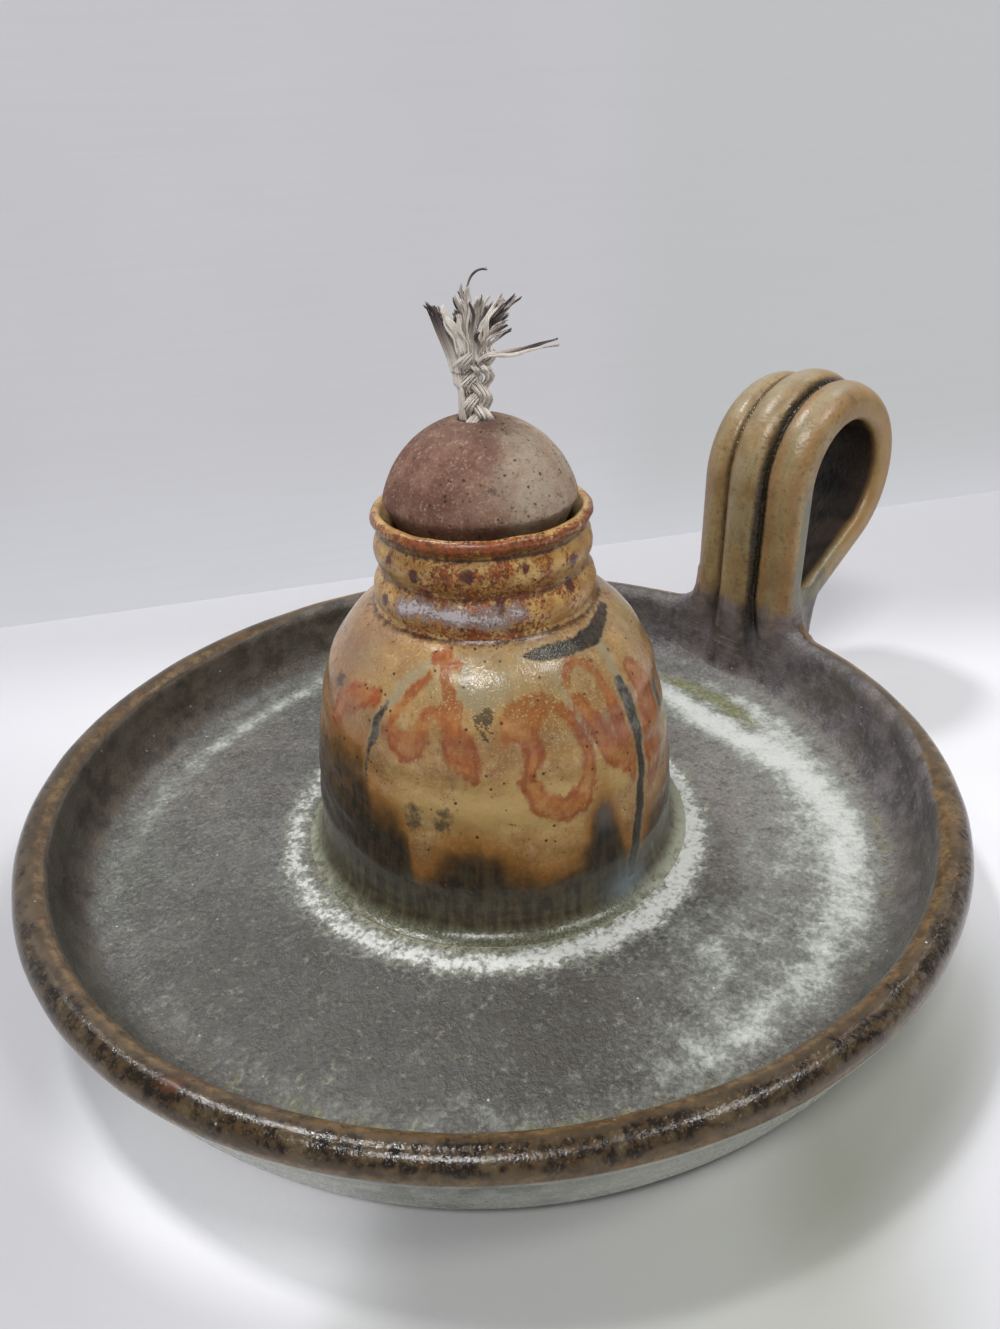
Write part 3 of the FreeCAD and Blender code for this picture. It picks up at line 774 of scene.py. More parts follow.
def handle_marks(strap, points):
    x, y, z = points.T
    index, left = nearest(strap.line, x, z)[:2]
    ribbed = np.maximum(smooth(left, 0.2, 1.6), smooth(-z, -31, -25) * (x < 81))
    low = smooth(-z, -33, -22)
    wide = 1 + 0.4 * smooth(-z, -28, -12)
    notch = np.maximum(hump(y, GROOVES[0] * wide, 1.15 + 0.9 * low),
                       0.8 * hump(y, GROOVES[1] * wide, 0.80 + 0.9 * low))
    cleft = 1.05 * hump(y, GROOVES[0] * wide, 1.0 + 0.6 * hump(z, 44, 16))
    cleft = cleft + 0.6 * hump(y, GROOVES[1] * wide, 0.6)
    crest = np.maximum(np.maximum(hump(y, -8.9 * wide, 2.0), hump(y, 0.3, 2.4)), hump(y, 8.6 * wide, 2.2))
    inner = smooth(-left, 1.2, 3.6) * smooth(STRAP_HALF - np.abs(y), 0.4, 3.6)
    flank = smooth(np.abs(y), 11.0, 12.2) * smooth(-left, -0.8, 1.0) * smooth(-z, -62, -46) * (x < 90)
    ground = strap.dish(np.hypot(x, y), z)
    onto = 1 - smooth(ground, 0.4, 4.5)
    marks = dish_marks(np.hypot(x, y), z, np.arctan2(y, x))
    edge = np.maximum(hump(y, -6.6, 1.0), hump(y, 10.8, 1.8) * smooth(-z, -62, -45))
    edge = np.maximum(hump(y, -11.6, 1.6), edge)
    marks.update(notch=notch * ribbed, cleft=cleft * ribbed, edge=edge * ribbed, crest=crest * ribbed,
                 inner=inner, flank=flank, onto=onto, low=low, along=index * 0.6)
    marks["bare"] = 0 * x
    return marks


def strap_tan(p, lengthwise):
    """Glossy tan of the ribs, darker in the grooves and inside the loop."""
    cloud, patch = p.noise(7, 4, 0.55, 32), p.noise(10, 3, 0.5, 33)
    tan = p.blend(cloud, 0.36, 0.64, "846a44", "a28a60")
    tan = p.over(tan, lengthwise, 0.42, 0.66, 0.50, "9a7442")
    tan = p.over(tan, patch, 0.50, 0.66, 0.5, "8f8869")
    tan = p.tint(tan, p.mark("edge"), 0.55, "94663a")
    tan = p.over(tan, lengthwise, 0.46, 0.30, 0.35, "7a5a36")
    tan = p.over(tan, p.noise(2.6, 4, 0.65, 98), 0.52, 0.64, 0.45, "766540")
    tan = p.over(tan, p.noise(1.0, 3, 0.65, 34), 0.54, 0.66, 0.50, "5c4829")
    tan = p.tint(tan, p.mark("crest"), 0.22, "a89a74")
    tan = p.over(tan, p.z, 62, 78, p.both(p.mark("crest"), 0.6), "a59e8c")
    tan = p.over(tan, p.x, 92, 100, 0.6, "a07c45")
    groove = p.ragged("notch", p.noise(1.6, 3, 0.6, 35), 0.7)
    color = p.over(tan, groove, 0.05, 0.60, 0.65, "5c462c")
    deep = p.ragged("cleft", p.noise(2.2, 4, 0.6, 47), 0.9)
    color = p.over(color, deep, 0.25, 0.90, 0.90, "29241b")
    flank = p.ragged("flank", p.noise(3, 3, 0.5, 43), 0.6)
    color = p.over(color, flank, 0.3, 0.9, 0.75, "686c60")
    inner = p.ragged("inner", p.noise(6, 2, 0.5, 36), 0.4)
    color = p.over(color, inner, 0.02, 0.50, 0.75, "54402a")
    # Near black inside the loop.
    loop_inside_dark = p.blend(p.noise(7, 2, 0.5, 37), 0.4, 0.65, "221c17", "362c23")
    color = p.blend(inner, 0.35, 0.90, color, loop_inside_dark)
    return color, deep


def strap_root(p):
    """Plum and brown, where the strap was pressed into the dish."""
    root = p.blend(p.noise(4, 4, 0.6, 38), 0.36, 0.64, "453d3b", "746968")
    root = p.over(root, p.mark("crest"), 0.3, 0.9, 0.35, "86797a")
    root = p.over(root, p.noise(3, 3, 0.6, 59), 0.56, 0.70, 0.5, "8c7468")
    return p.over(root, p.mark("notch"), 0.10, 0.7, 0.88, "241f1e")


def handle_material():
    p = Paint("handle_glaze")
    run = p.mark("along")
    lengthwise = p.noise(1.0, 3, 0.6, 31, p.together(p.both(p.y, 0.7), 0.0, p.math("DIVIDE", run, 6)))
    color, deep = strap_tan(p, lengthwise)
    drip = p.plus(p.both(p.noise(4, 3, 0.5, 39), 0.5), lengthwise, 0.5)
    low = p.ragged("low", drip, 2.0)
    color = p.over(color, low, 0.30, 0.95, 0.92, strap_root(p))
    dish, dish_rough, dish_relief = dish_colors(p, run)
    onto = p.step(p.ragged("onto", p.noise(3, 3, 0.5, 40), 0.6), 0.25, 0.90)
    color = p.mix(onto, color, dish)
    gap, pick = p.cells(1.7, 3)
    color = p.tint(color, p.area((gap, 0.14, 0.06), (pick, 0.7, 0.75)), 0.5, "3b3228")
    rough = p.number(p.step(deep, 0.2, 0.7), 0.33, 0.13)
    relief = p.plus(p.noise(2.2, 3, 0.55, 41), p.noise(0.6, 2, 0.5, 42), 0.3)
    relief = p.plus(relief, p.both(p.noise(0.9, 2, 0.5, 44), p.mark("cleft")), 2.4)
    p.bump(p.number(onto, relief, dish_relief), 0.16)
    return p.finish(color, p.number(onto, rough, dish_rough))


def make_handle():
    strap = Strap()
    cell = 0.36
    xs, ys, zs = np.arange(62, 128, cell), np.arange(-21.5, 21.5, cell), np.arange(3, 87, cell)
    gx, gz = np.meshgrid(xs, zs, indexing="ij")
    field = strap.field(gx, ys[None, None, :], gz)
    grid = openvdb.FloatGrid(FIELD_REACH)
    near = np.clip(field.transpose(0, 2, 1), -FIELD_REACH, FIELD_REACH)
    grid.copyFromArray(np.ascontiguousarray(near, dtype=np.float32))
    corners, triangles, quads = grid.convertToPolygons(isovalue=0.0, adaptivity=0.0)
    points = corners * cell + np.array([xs[0], ys[0], zs[0]])
    faces = [f[::-1] for f in quads.tolist() + triangles.tolist()]
    piece = mesh_object("handle_pulled", points, faces, handle_material(), "lamp",
                        handle_marks(strap, points))
    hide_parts("handle")
    return piece


# Reservoir


def pot_profile(step):
    """From the middle of the underside up the outside, over the lip and down the inside."""
    lip = (17.1, 67.95)
    rows = straight((0, 6.6), (36.6, 6.6), 4 * step)
    rows += straight((36.6, 6.6), (36.3, 6.95), step / 2)
    rows += rolled((36.2, 10.6), 3.6, 270, 180, step)
    rows += bowed((32.6, 10.6), (28.8, 40.8), 1.0, step)
    rows += bowed((28.8, 40.8), (19.5, 53.3), 1.4, step)
    rows += bowed((18.4, 53.6), (17.2, 59.5), 1.05, step * 0.7)
    rows += bowed((17.0, 59.9), (17.1, 65.8), 1.25, step * 0.7)
    rows += straight((16.9, 66.1), on_roll(lip, 1.3, -75), step * 0.7)
    rows += rolled(lip, 1.3, -75, 105, step * 0.7)
    rows += bowed(on_roll(lip, 1.3, 112), (15.1, 67.5), -0.35, step * 0.7)
    rows += straight((14.9, 67.2), (14.3, 65.9), step * 0.7)
    rows += straight((14.2, 65.6), (13.6, 62.9), step)
    rows += straight((13.6, 62.9), (11.8, 59.4), step)
    rows += straight((11.8, 59.4), (11.8, 52.0), 2 * step)
    rows += bowed((14.5, 51.2), (24.9, 39.6), -1.0, 3 * step)
    rows += straight((24.9, 39.6), (28.6, 14.0), 3 * step)
    rows += rolled((25.6, 14.0), 3.0, 0, -90, step * 2)
    rows += straight((25.6, 11.0), (0, 11.0), 4 * step)
    rows.append(np.array([0, 11.0]))
    return softened(rows, 2)


def pot_shape(r, z, angle):
    """Throwing marks of the reservoir: a slow spiral, a body a little out of round, a wavy lip."""
    outer = smooth(r, 15.5, 17) * (z > 7.5)
    body = outer * smooth(z, 9, 16)
    out = body * (0.16 * waver(angle, 21, 2, 4) + 0.10 * np.sin(z * TURN / 6.5 + angle) * (z < 52))
    out = out + body * 0.05 * waver(angle * 2 + z / 6, 22, 3, 12)
    neck = outer * smooth(z, 53, 55)
    out = out + neck * 0.12 * waver(angle, 23, 2, 6)
    up = neck * 0.22 * waver(angle, 24, 1, 3)
    return out, up + outer * smooth(z, 66, 67) * 0.10 * waver(angle * 2, 25, 3, 9)


# Brush marks round the belly: a width in millimetres, then degrees to the right of the near side, heights
# and, where the brush was pressed more or less, the width there.
RUST_STROKES = (
    (0.9, (-24, 49.6), (-28.5, 47.4), (-32.5, 44.6), (-34.8, 42.0)),
    (4.0, (-34.0, 41.6, 2.2), (-30.5, 40.2, 3.8), (-27, 39.8, 4.4), (-23.5, 41.4, 2.6), (-21.8, 44.2, 1.4)),
    (3.6, (-22, 44.8, 1.2), (-18, 45.6, 1.6), (-14, 44.6, 2.6), (-11.6, 41.8, 4.2), (-9.8, 39.4, 4.4),
     (-7.6, 37.2, 2.4), (-6.4, 35.9, 0.9)),
    (1.0, (-18.5, 52.6, 2.0), (-17.5, 50.4, 1.0), (-14.0, 47.6), (-11.4, 44.8, 1.3)),
    (1.0, (-23, 51.9, 1.0), (-17, 51.6, 1.4), (-12.5, 51.2, 1.0)),
    (1.0, (2.8, 41.0, 0.8), (2.8, 43.8, 1.2), (6.6, 46.2), (13, 47.0), (19, 46.1), (24, 43.4, 0.9),
     (27.6, 39.4, 1.1), (28.8, 36.2, 1.4)),
    (3.4, (28.6, 36.0, 1.5), (27.2, 32.8, 2.6), (24, 29.9, 3.6), (18.6, 28.9, 3.9), (13.6, 30.6, 3.4),
     (10.0, 33.6, 2.6), (8.4, 35.4, 1.5)),
    (2.0, (8.4, 35.6, 1.4), (10.6, 37.4, 1.8), (12.0, 39.4, 1.9), (10.0, 41.4, 2.6)),
    (4.6, (4.6, 42.6, 2.6), (8.0, 43.4, 4.6), (13.0, 44.6, 2.4), (17, 44.8, 1.0)),
    (0.9, (26, 47.4), (28, 49.2), (31, 50.0), (36, 49.4), (39.5, 47.0), (41.2, 43.6), (44, 38.4, 1.2),
     (46.3, 33.4, 1.6), (44.0, 29.6, 0.8)),
    (2.4, (28.6, 45.4, 1.6), (31.4, 42.4, 2.6), (34.6, 38.8, 2.6), (38.2, 35.2, 3.0), (42.6, 32.4, 2.2)),
    (0.9, (40, 42.4), (41.8, 37.6), (42.4, 32.4, 1.4)),
    (5.8, (56, 45.4, 3.0), (59.6, 41.6, 5.4), (60, 34.4, 6.2), (58.5, 29.6, 4.8), (55.5, 26.2, 2.6)),
    (3.6, (-62, 39.0, 2.0), (-57, 42.8, 3.6), (-50, 44.6, 3.8), (-43, 45.4, 2.2)),
)
SLATE_STROKES = (
    (2.4, (14, 51.8, 0.7), (18, 51.7, 1.8), (27, 51.6, 2.7), (38, 51.5, 2.6), (48, 51.5, 3.2),
     (58, 52.2, 2.4), (72, 52.8, 1.4)),
    (2.4, (47.6, 44.8, 2.2), (48.2, 42.4, 2.6), (49.4, 38.6, 2.4), (50.0, 35.8, 2.2), (50.2, 33.0, 1.7),
     (49.0, 29.0, 1.6), (47.2, 24.6, 1.9), (45.2, 19.6, 2.1), (43.0, 14.0, 1.9), (42, 11.0, 1.2)),
    (1.2, (-37, 45.2, 0.9), (-39.6, 42.6, 1.3), (-40.4, 39.8, 1.4), (-42.2, 36.6, 0.6), (-43, 33.0, 0.2)),
    (1.8, (70, 39.5), (70.6, 34.5)),
)
SAGE_STROKES = (
    (1.5, (-25, 51.2, 1.0), (-32.5, 48.0, 1.8), (-36.5, 45.2, 1.4)),
    (3.4, (-9.5, 50.5, 2.0), (-8.0, 48.0, 3.8), (-3.0, 47.0, 4.2), (4.0, 49.2, 3.0)),
    (1.8, (23, 49.2), (26, 44.6), (29.4, 40.0, 1.2)),
    (2.0, (47.6, 51.4), (47.6, 45.0)),
)
SPECK_SPOTS = ((-3.0, 45.0, 1.5), (-3.0, 42.8, 1.0))
DARK_SPOTS = ((-25.2, 29.6, 0.9), (-25.0, 27.4, 1.1), (-15.8, 29.8, 0.8), (-16.4, 27.8, 1.1),
              (-64, 44.5, 1.2))
FROST_STROKE = ((3.0, (-45, 57.2), (-36, 57.9), (-20, 57.7), (-5, 57.1), (8, 56.8), (14, 57.6)),)
BLOTS = ((-37, 62.9, 1.0), (-8.5, 63.9, 1.0), (19, 64.4, 0.8), (48, 63.2, 1.0), (46.5, 59.0, 1.2),
         (5.5, 58.6, 1.1), (-56, 64.0, 0.8), (-61, 56.9, 1.0))
BAND_EDGE = ((-86, 31), (-70, 33), (-58, 34.5), (-47, 34.0), (-42, 31.5), (-40, 27.5), (-33, 26.8),
             (-27.5, 24), (-26, 18.5), (-22.5, 17.4), (-18.5, 19), (-15.5, 21.6), (-9, 22.6), (-2, 21.5),
             (2, 19), (8, 17), (14, 16.4), (21, 16.8), (25, 19.8), (28, 24), (31, 26.6), (34.5, 25.6),
             (37, 22), (39, 17), (43, 14.5), (50, 16.5), (60, 19), (70, 22), (80, 24))
# Middles of the arches on the side the picture doesn't show, and their seeds
FAR_SIDE = ((106, 1), (146, 2), (184, 3), (222, 4))


def far_strokes():
    """The same kind of arches round the back, each a little different."""
    rows = []
    for middle, seed in FAR_SIDE:
        rng = np.random.default_rng(40 + seed)
        half, top, low = rng.uniform(11, 14), rng.uniform(45.5, 48), rng.uniform(29, 36)
        rise = top - low
        left = [(middle - half * math.sin(t), low + rise * math.cos(t)) for t in np.linspace(1.5, 0, 6)]
        right = [(middle + half * math.sin(t), low + 3 + (rise - 3) * math.cos(t))
                 for t in np.linspace(0, 1.5, 6)]
        rows.append((rng.uniform(2.2, 2.8), *left))
        rows.append((rng.uniform(3.0, 4.2), *right))
        rows.append((rng.uniform(3.4, 4.6), left[0], (middle - half * 0.55, low - 1.5),
                     (middle - half * 0.1, low + 1.0)))
    return tuple(rows)


def stroke_field(strokes, side, along, ruler, scale=29.0):
    """How far inside the nearest stroke each point is, in millimetres; ruler turns heights into runs."""
    best = np.full(side.shape, -9.0)
    for width, *stops in strokes:
        for (a0, z0, *w0), (a1, z1, *w1) in zip(stops, stops[1:]):
            x = np.radians(wrapped(side - a0)) * scale
            y = along - ruler(z0)
            dx, dy = math.radians(a1 - a0) * scale, ruler(z1) - ruler(z0)
            t = np.clip((x * dx + y * dy) / (dx * dx + dy * dy), 0, 1)
            start, end = (w0 or [width])[0], (w1 or [width])[0]
            best = np.maximum(best, (start + (end - start) * t) / 2 - np.hypot(x - t * dx, y - t * dy))
    return best


def spot_field(spots, side, along, ruler, scale=29.0):
    best = np.full(side.shape, -9.0)
    for a0, z0, radius in spots:
        x = np.radians(wrapped(side - a0)) * scale
        best = np.maximum(best, radius - np.hypot(x, along - ruler(z0)))
    return best


def band_height(side, angle):
    """Where the dark band ends, by BAND_EDGE on the near side and by rule on the far one."""
    degrees, edges = np.array(BAND_EDGE).T
    far = np.arange(86, 274, 6.0)
    degrees = np.concatenate([degrees, far])
    edges = np.concatenate([edges, 24.5 + 5.5 * waver(np.radians(far), 31, 3, 11)])
    order = np.argsort(degrees)
    band = np.interp(side % 360, degrees[order] % 360, edges[order], period=360)
    return band + 0.5 * waver(angle * 4, 32, 3, 12)


def pot_marks(r, z, angle, along, outer):
    side = from_near(angle)
    """Where each brush mark, freckle and crystal lies; outer gives the run that each outside height is at."""
    def ruler(height):
        return np.interp(height, *outer)

    rng = np.random.default_rng(5)
    far = [(rng.uniform(85, 275), rng.uniform(55, 65), rng.uniform(0.6, 1.2)) for _ in range(12)]
    blots = BLOTS + tuple(far)
    drips = SLATE_STROKES + ((2.4, (196, 51), (197, 44), (199, 36), (200, 27), (199, 18)),
                             (2.2, (128, 47), (126, 40), (125, 33)))
    neck = smooth(z, 53.0, 54.0)
    density = 0.45 + 0.25 * hump(side, -12, 26) + 0.15 * waver(angle, 33, 2, 7)
    freckle = neck * density + 0.25 * hump(z, 53.0, 1.4) + 0.2 * hump(z, 59.6, 0.9)
    freckle = freckle + smooth(z, 65.8, 66.6) * (0.75 * smooth(r, 17.0, 18.1) - 0.25)
    crease = hump(z, 53.45, 0.55) + 0.9 * hump(z, 59.7, 0.55) + 1.0 * hump(z, 66.05, 0.5)
    # Paler shoulder, partly glaze and partly painted sheen, strongest on the near side.
    pale_and_sheen = hump(z, 49.5, 5.0) * (0.55 + 0.5 * hump(side, 2, 16) + 0.3 * waver(angle, 34, 4, 9)) * (z < 53.3)
    glitter = hump(z, 47, 4.5) * (0.35 + 0.5 * hump(side, 12, 30))
    glitter = glitter + 0.9 * hump(z, 39.5, 4.2) * hump(side, 19.5, 5.5)
    return {
        "rust": stroke_field(RUST_STROKES + far_strokes(), side, along, ruler),
        "slate": stroke_field(drips, side, along, ruler),
        "sage": stroke_field(SAGE_STROKES, side, along, ruler),
        "cluster": spot_field(SPECK_SPOTS, side, along, ruler),
        "spots": spot_field(DARK_SPOTS, side, along, ruler),
        "frost": stroke_field(FROST_STROKE, side, along, ruler, 18.0),
        "blots": spot_field(blots, side, along, ruler, 18.0),
        "band": band_height(side, angle) - z,
        "freckle": freckle, "crease": crease, "pale_and_sheen": pale_and_sheen, "glitter": glitter, "neck": neck,
        "mauve": hump(side, -66, 26) * smooth(z, 31, 37),
        "cream": hump(z, 30.5, 5.5) * hump(side, 2, 42),
        "inside": ((r < 16.9) & (z < 69.3)).astype(float) * smooth(-r, -16.2, -15.2),
        "blue": hump(side, 40, 8) * hump(z, 10.0, 3.2) + 0.45 * hump(side, 32, 3) * hump(z, 25.5, 2.4),
        "along": along, "frill": np.clip(hump(side, 80, 45) + 0.6 * hump(side, -80, 40), 0, 1),
    }


def pot_ground(p, run, fine, soft):
    """Amber glaze of the belly, paler on the shoulder and partly painted sheen there, dark and runny towards
    the base.
    """
    color = p.blend(p.noise(8, 3, 0.55, 52), 0.36, 0.64, "98734a", "b8945f")
    color = p.over(color, soft, 0.46, 0.60, 0.35, "a2713e")
    color = p.over(color, p.noise(3.0, 4, 0.65, 99), 0.52, 0.64, 0.40, "cfb284")
    color = p.over(color, fine, 0.54, 0.66, 0.45, "d2b789")
    color = p.over(color, p.noise(0.9, 3, 0.65, 53), 0.56, 0.68, 0.45, "7a5330")
    # Paler glaze on the shoulder with painted sheen in it, strongest on the near side.
    pale_and_sheen = p.ragged("pale_and_sheen", soft, 1.6)
    color = p.over(color, pale_and_sheen, 0.25, 1.0, 0.55, "a09878")
    sage = p.ragged("sage", p.noise(2.4, 4, 0.65, 89), 3.0)
    color = p.over(color, sage, -1.2, 1.0, 0.70, "9c9880")
    color = p.tint(color, p.mark("mauve"), 0.50, "7c5741")
    cream = p.ragged("cream", p.noise(3.2, 4, 0.62, 101), 1.6)
    color = p.over(color, cream, 0.12, 0.85, 0.80, "c6a76c")
    streak, lump = p.streaks(3.4, 10, run, 4, 0.6, 57, 31.0), p.noise(3.4, 4, 0.6, 50)
    band = p.plus(p.mark("band"), p.ragged(p.both(p.plus(streak, -0.5), 5.0), lump, 6.0))
    color = p.over(color, band, -9.0, -1.5, 0.70, "955f1f")
    color = p.over(color, band, -3.6, 1.0, 0.80, "5e4424")
    drip = p.plus(p.both(p.streaks(1.2, 9, run, 4, 0.6, 58, 31.0), 0.55), p.noise(2.4, 4, 0.65, 49), 0.45)
    deep = p.blend(drip, 0.42, 0.60, "29231b", "463c2c")
    low = p.blend(drip, 0.42, 0.60, "3a3428", "58533e")
    deep = p.over(deep, p.z, 20, 10, 0.85, low)
    deep = p.over(deep, p.z, 22, 30, p.both(p.step(lump, 0.44, 0.60), 0.7), "6b4c29")
    return p.over(color, band, -2.4, 4.0, 0.97, deep), band


def pot_brushwork(p, color, run, fine, soft):
    rust_edge = p.ragged("rust", p.noise(1.8, 4, 0.65, 54), 2.0)
    rust_edge = p.ragged(rust_edge, fine, 1.2)
    rust_edge = p.ragged(rust_edge, p.streaks(1.3, 6, run, 4, 0.65, 100, 31.0), 2.2)
    wash = p.blend(p.noise(2.6, 4, 0.6, 55), 0.38, 0.62, "9c4a22", "b4703a")
    thin = p.number(p.step(p.noise(3.6, 3, 0.6, 30), 0.40, 0.62), 0.56, 0.84)
    color = p.over(color, rust_edge, -0.9, 0.5, thin, wash)
    rim = p.area((rust_edge, -0.8, -0.1), (rust_edge, 0.9, 0.1))
    color = p.tint(color, rim, p.both(p.step(p.noise(5, 3, 0.6, 56), 0.36, 0.56), 0.65), "8a3c1a")
    spots = p.ragged("spots", p.noise(1.0, 3, 0.65, 60), 4.0)
    color = p.over(color, spots, -0.9, 0.7, 0.75, "35302f")
    cluster = p.ragged("cluster", p.noise(0.8, 2, 0.6, 61), 5.0)
    color = p.over(color, cluster, -0.2, 0.5, 0.85, "35342f")
    slate_edge = p.ragged("slate", p.noise(1.2, 4, 0.65, 62), 1.3)
    color = p.over(color, slate_edge, -1.0, -0.3, 0.22, "a39468")
    slate = p.blend(p.z, 33.5, 36, "15110f", p.blend(soft, 0.38, 0.60, "242522", "63635c"))
    slate = p.over(slate, p.z, 47, 50, 0.92, p.blend(soft, 0.42, 0.60, "0e0f0c", "2b2c25"))
    slate = p.over(slate, p.z, 26, 17, 0.55, "37322a")
    slate_share = p.both(p.step(slate_edge, -0.30, 0.25), 0.94)
    return p.mix(slate_share, color, slate), slate_share


def pot_neck(p, color, soft):
    """Amber rings with rust freckles, darker blots, dark creases and a patch of frosty crystals."""
    amber = p.blend(p.noise(3.5, 3, 0.55, 63), 0.36, 0.66, "a2783f", "c4a164")
    amber = p.over(amber, soft, 0.5, 0.7, 0.4, "9c6834")
    color = p.mix(p.mark("neck"), color, amber)
    freckle = p.ragged("freckle", p.noise(0.60, 4, 0.75, 64), 3.6)
    freckle = p.ragged(freckle, p.noise(3.4, 3, 0.6, 65), 1.9)
    speck = p.blend(p.noise(0.7, 3, 0.6, 48), 0.42, 0.6, "561d0f", "933e1b")
    color = p.over(color, freckle, 0.55, 0.82, 0.85, speck)
    blots = p.ragged("blots", p.noise(0.7, 4, 0.7, 66), 2.4)
    color = p.over(color, blots, -0.4, 0.3, 0.88, "45191a")
    frost = p.ragged("frost", p.noise(0.42, 4, 0.8, 67), 6.0)
    frost = p.ragged(frost, p.noise(2.6, 3, 0.6, 70), 3.4)
    color = p.over(color, frost, -0.4, 0.5, 0.75, "93827c")
    color = p.over(color, frost, 0.5, 1.5, 0.88, "c0b7bb")
    crease = p.ragged("crease", p.noise(1.3, 4, 0.65, 68), 1.6)
    return p.over(color, crease, 0.40, 1.05, 0.85, "3a1c10"), frost


def pot_material():
    p = Paint("reservoir_glaze", POT_X, POT_Y)
    run = p.mark("along")
    fine, soft = p.noise(0.45, 3, 0.65), p.noise(1.6, 4, 0.65, 51)
    color, band = pot_ground(p, run, fine, soft)
    color, slate_share = pot_brushwork(p, color, run, fine, soft)
    color, frost = pot_neck(p, color, soft)

    gap, pick = p.cells(1.9, 4)
    dot = p.area((p.ragged(gap, fine, 0.12), 0.18, 0.09), (pick, 0.50, 0.54))
    color = p.tint(color, p.both(dot, 0.85), p.step(p.mark("band"), 2, -1), "351c12")
    # Golden crystal flecks whose bright colour is partly painted glints.
    flake = p.cells(0.24, 5)
    shiny = p.step(p.ragged("glitter", soft, 1.6), 0.25, 0.9)
    gold = p.both(p.step(flake[1], 0.80, 0.92), shiny)
    color = p.tint(color, shiny, 0.30, "8f6a2c")
    color = p.tint(color, gold, 0.50, "dcbf7e")
    color = p.tint(color, p.mark("blue"), 0.65, "7f8b94")
    base = p.step(p.ragged(p.z, soft, 3.0), 9.2, 7.0)
    olive = p.blend(fine, 0.4, 0.65, "4d503c", "7d7f68")
    crystals = p.step(p.ragged("frill", soft, 2.0), 0.2, 1.0)
    color = p.tint(color, base, 0.8, p.mix(crystals, olive, "b4b6a0"))
    color = p.mix(p.mark("inside"), color, p.blend(soft, 0.4, 0.6, "6d5536", "8a7548"))

    rough = p.plus(0.15, p.plus(soft, -0.4), 0.3)
    rough = p.plus(rough, p.mark("neck"), 0.12)
    rough = p.plus(rough, p.step(band, -1, 3), 0.05)
    rough = p.number(slate_share, rough, 0.08)
    rough = p.plus(rough, p.step(frost, 0.0, 0.9), 0.2)
    relief = p.plus(p.noise(2.4, 3, 0.55, 69), fine, 0.30)
    relief = p.plus(relief, gold, 0.6)
    relief = p.plus(relief, p.both(slate_share, p.plus(0.3, fine, 0.5)))
    relief = p.plus(relief, p.step(frost, 0.3, 1.2), 0.4)
    p.bump(relief, 0.15)
    return p.finish(color, rough)


def make_pot():
    profile = pot_profile(0.62)
    peak = int(np.argmax(profile[:, 1]))
    along = np.concatenate([[0], np.cumsum(np.hypot(*np.diff(profile, axis=0).T))])
    rising = np.maximum.accumulate(profile[:peak, 1]) + np.arange(peak) * 1e-6
    points, faces, r, z, angle, run = lathe(profile, POT_SEGMENTS, pot_shape)
    marks = pot_marks(r, z, angle, run, (rising, along[:peak]))
    piece = mesh_object("reservoir_thrown", points + np.array([POT_X, POT_Y, 0]), faces, pot_material(),
                        "lamp", marks)
    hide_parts("reservoir")
    return piece


# Stopper


def stopper_profile(step):
    bore, arris, top = 2.85, (15.75, 70.8), STOPPER_TOP
    dome_radius = (arris[0] ** 2 + (top - arris[1]) ** 2) / (2 * (top - arris[1]))
    dome_centre = top - dome_radius
    slope = math.tan(math.radians(24))
    spigot_top = arris[1] - (arris[0] - 10.9) / slope
    rows = straight((bore, SPIGOT_BOTTOM), (10.1, SPIGOT_BOTTOM), step)
    rows += straight((10.1, SPIGOT_BOTTOM), (10.9, SPIGOT_BOTTOM + 0.8), step)
    rows += straight((10.9, SPIGOT_BOTTOM + 0.8), (10.9, spigot_top), step)
    rows += straight((10.9, spigot_top), arris, step)
    start = math.degrees(math.atan2(arris[1] - dome_centre, arris[0]))
    end = math.degrees(math.acos((bore + 0.5) / dome_radius))
    rows += rolled((0, dome_centre), dome_radius, start, end, step)
    mouth = dome_centre + dome_radius * math.sin(math.radians(end))
    rows += straight((bore + 0.25, mouth - 0.12), (bore, mouth - 0.5), 0.25)
    rows += straight((bore, mouth - 0.5), (bore, SPIGOT_BOTTOM), 2 * step)
    return np.array(rows)


def make_stopper():
    """A ring-shaped body round the wick's bore, so its profile closes on itself."""
    profile = stopper_profile(0.55)
    segments = STOPPER_SEGMENTS
    angle = np.arange(segments) * TURN / segments
    soft = (np.roll(profile, 1, 0) + 6 * profile + np.roll(profile, -1, 0)) / 8
    r, a = np.meshgrid(soft[:, 0], angle, indexing="ij")
    z = np.repeat(soft[:, 1][:, None], segments, 1)
    outer = smooth(r, 4, 8) * smooth(z, 62, 66)
    swell = outer * (0.10 * waver(a, 71, 2, 5) + 0.035 * waver(a * 3 + z / 3, 72, 4, 16))
    nick = outer * 0.35 * beside(from_near(a), 42, 5.5) * hump(z, 71.3, 0.45)
    r = r + swell - nick
    points = np.stack([r * np.cos(a) + POT_X, r * np.sin(a) + POT_Y, z], -1).reshape(-1, 3)
    i, j = np.meshgrid(np.arange(len(soft)), np.arange(segments), indexing="ij")
    up, on = (i + 1) % len(soft), (j + 1) % segments
    quads = np.stack([i * segments + j, i * segments + on, up * segments + on, up * segments + j], -1)
    faces = quads.reshape(-1, 4).tolist()
    piece = mesh_object("stopper_turned", points, faces, stopper_material(), "stopper")
    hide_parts("stopper")
    return piece


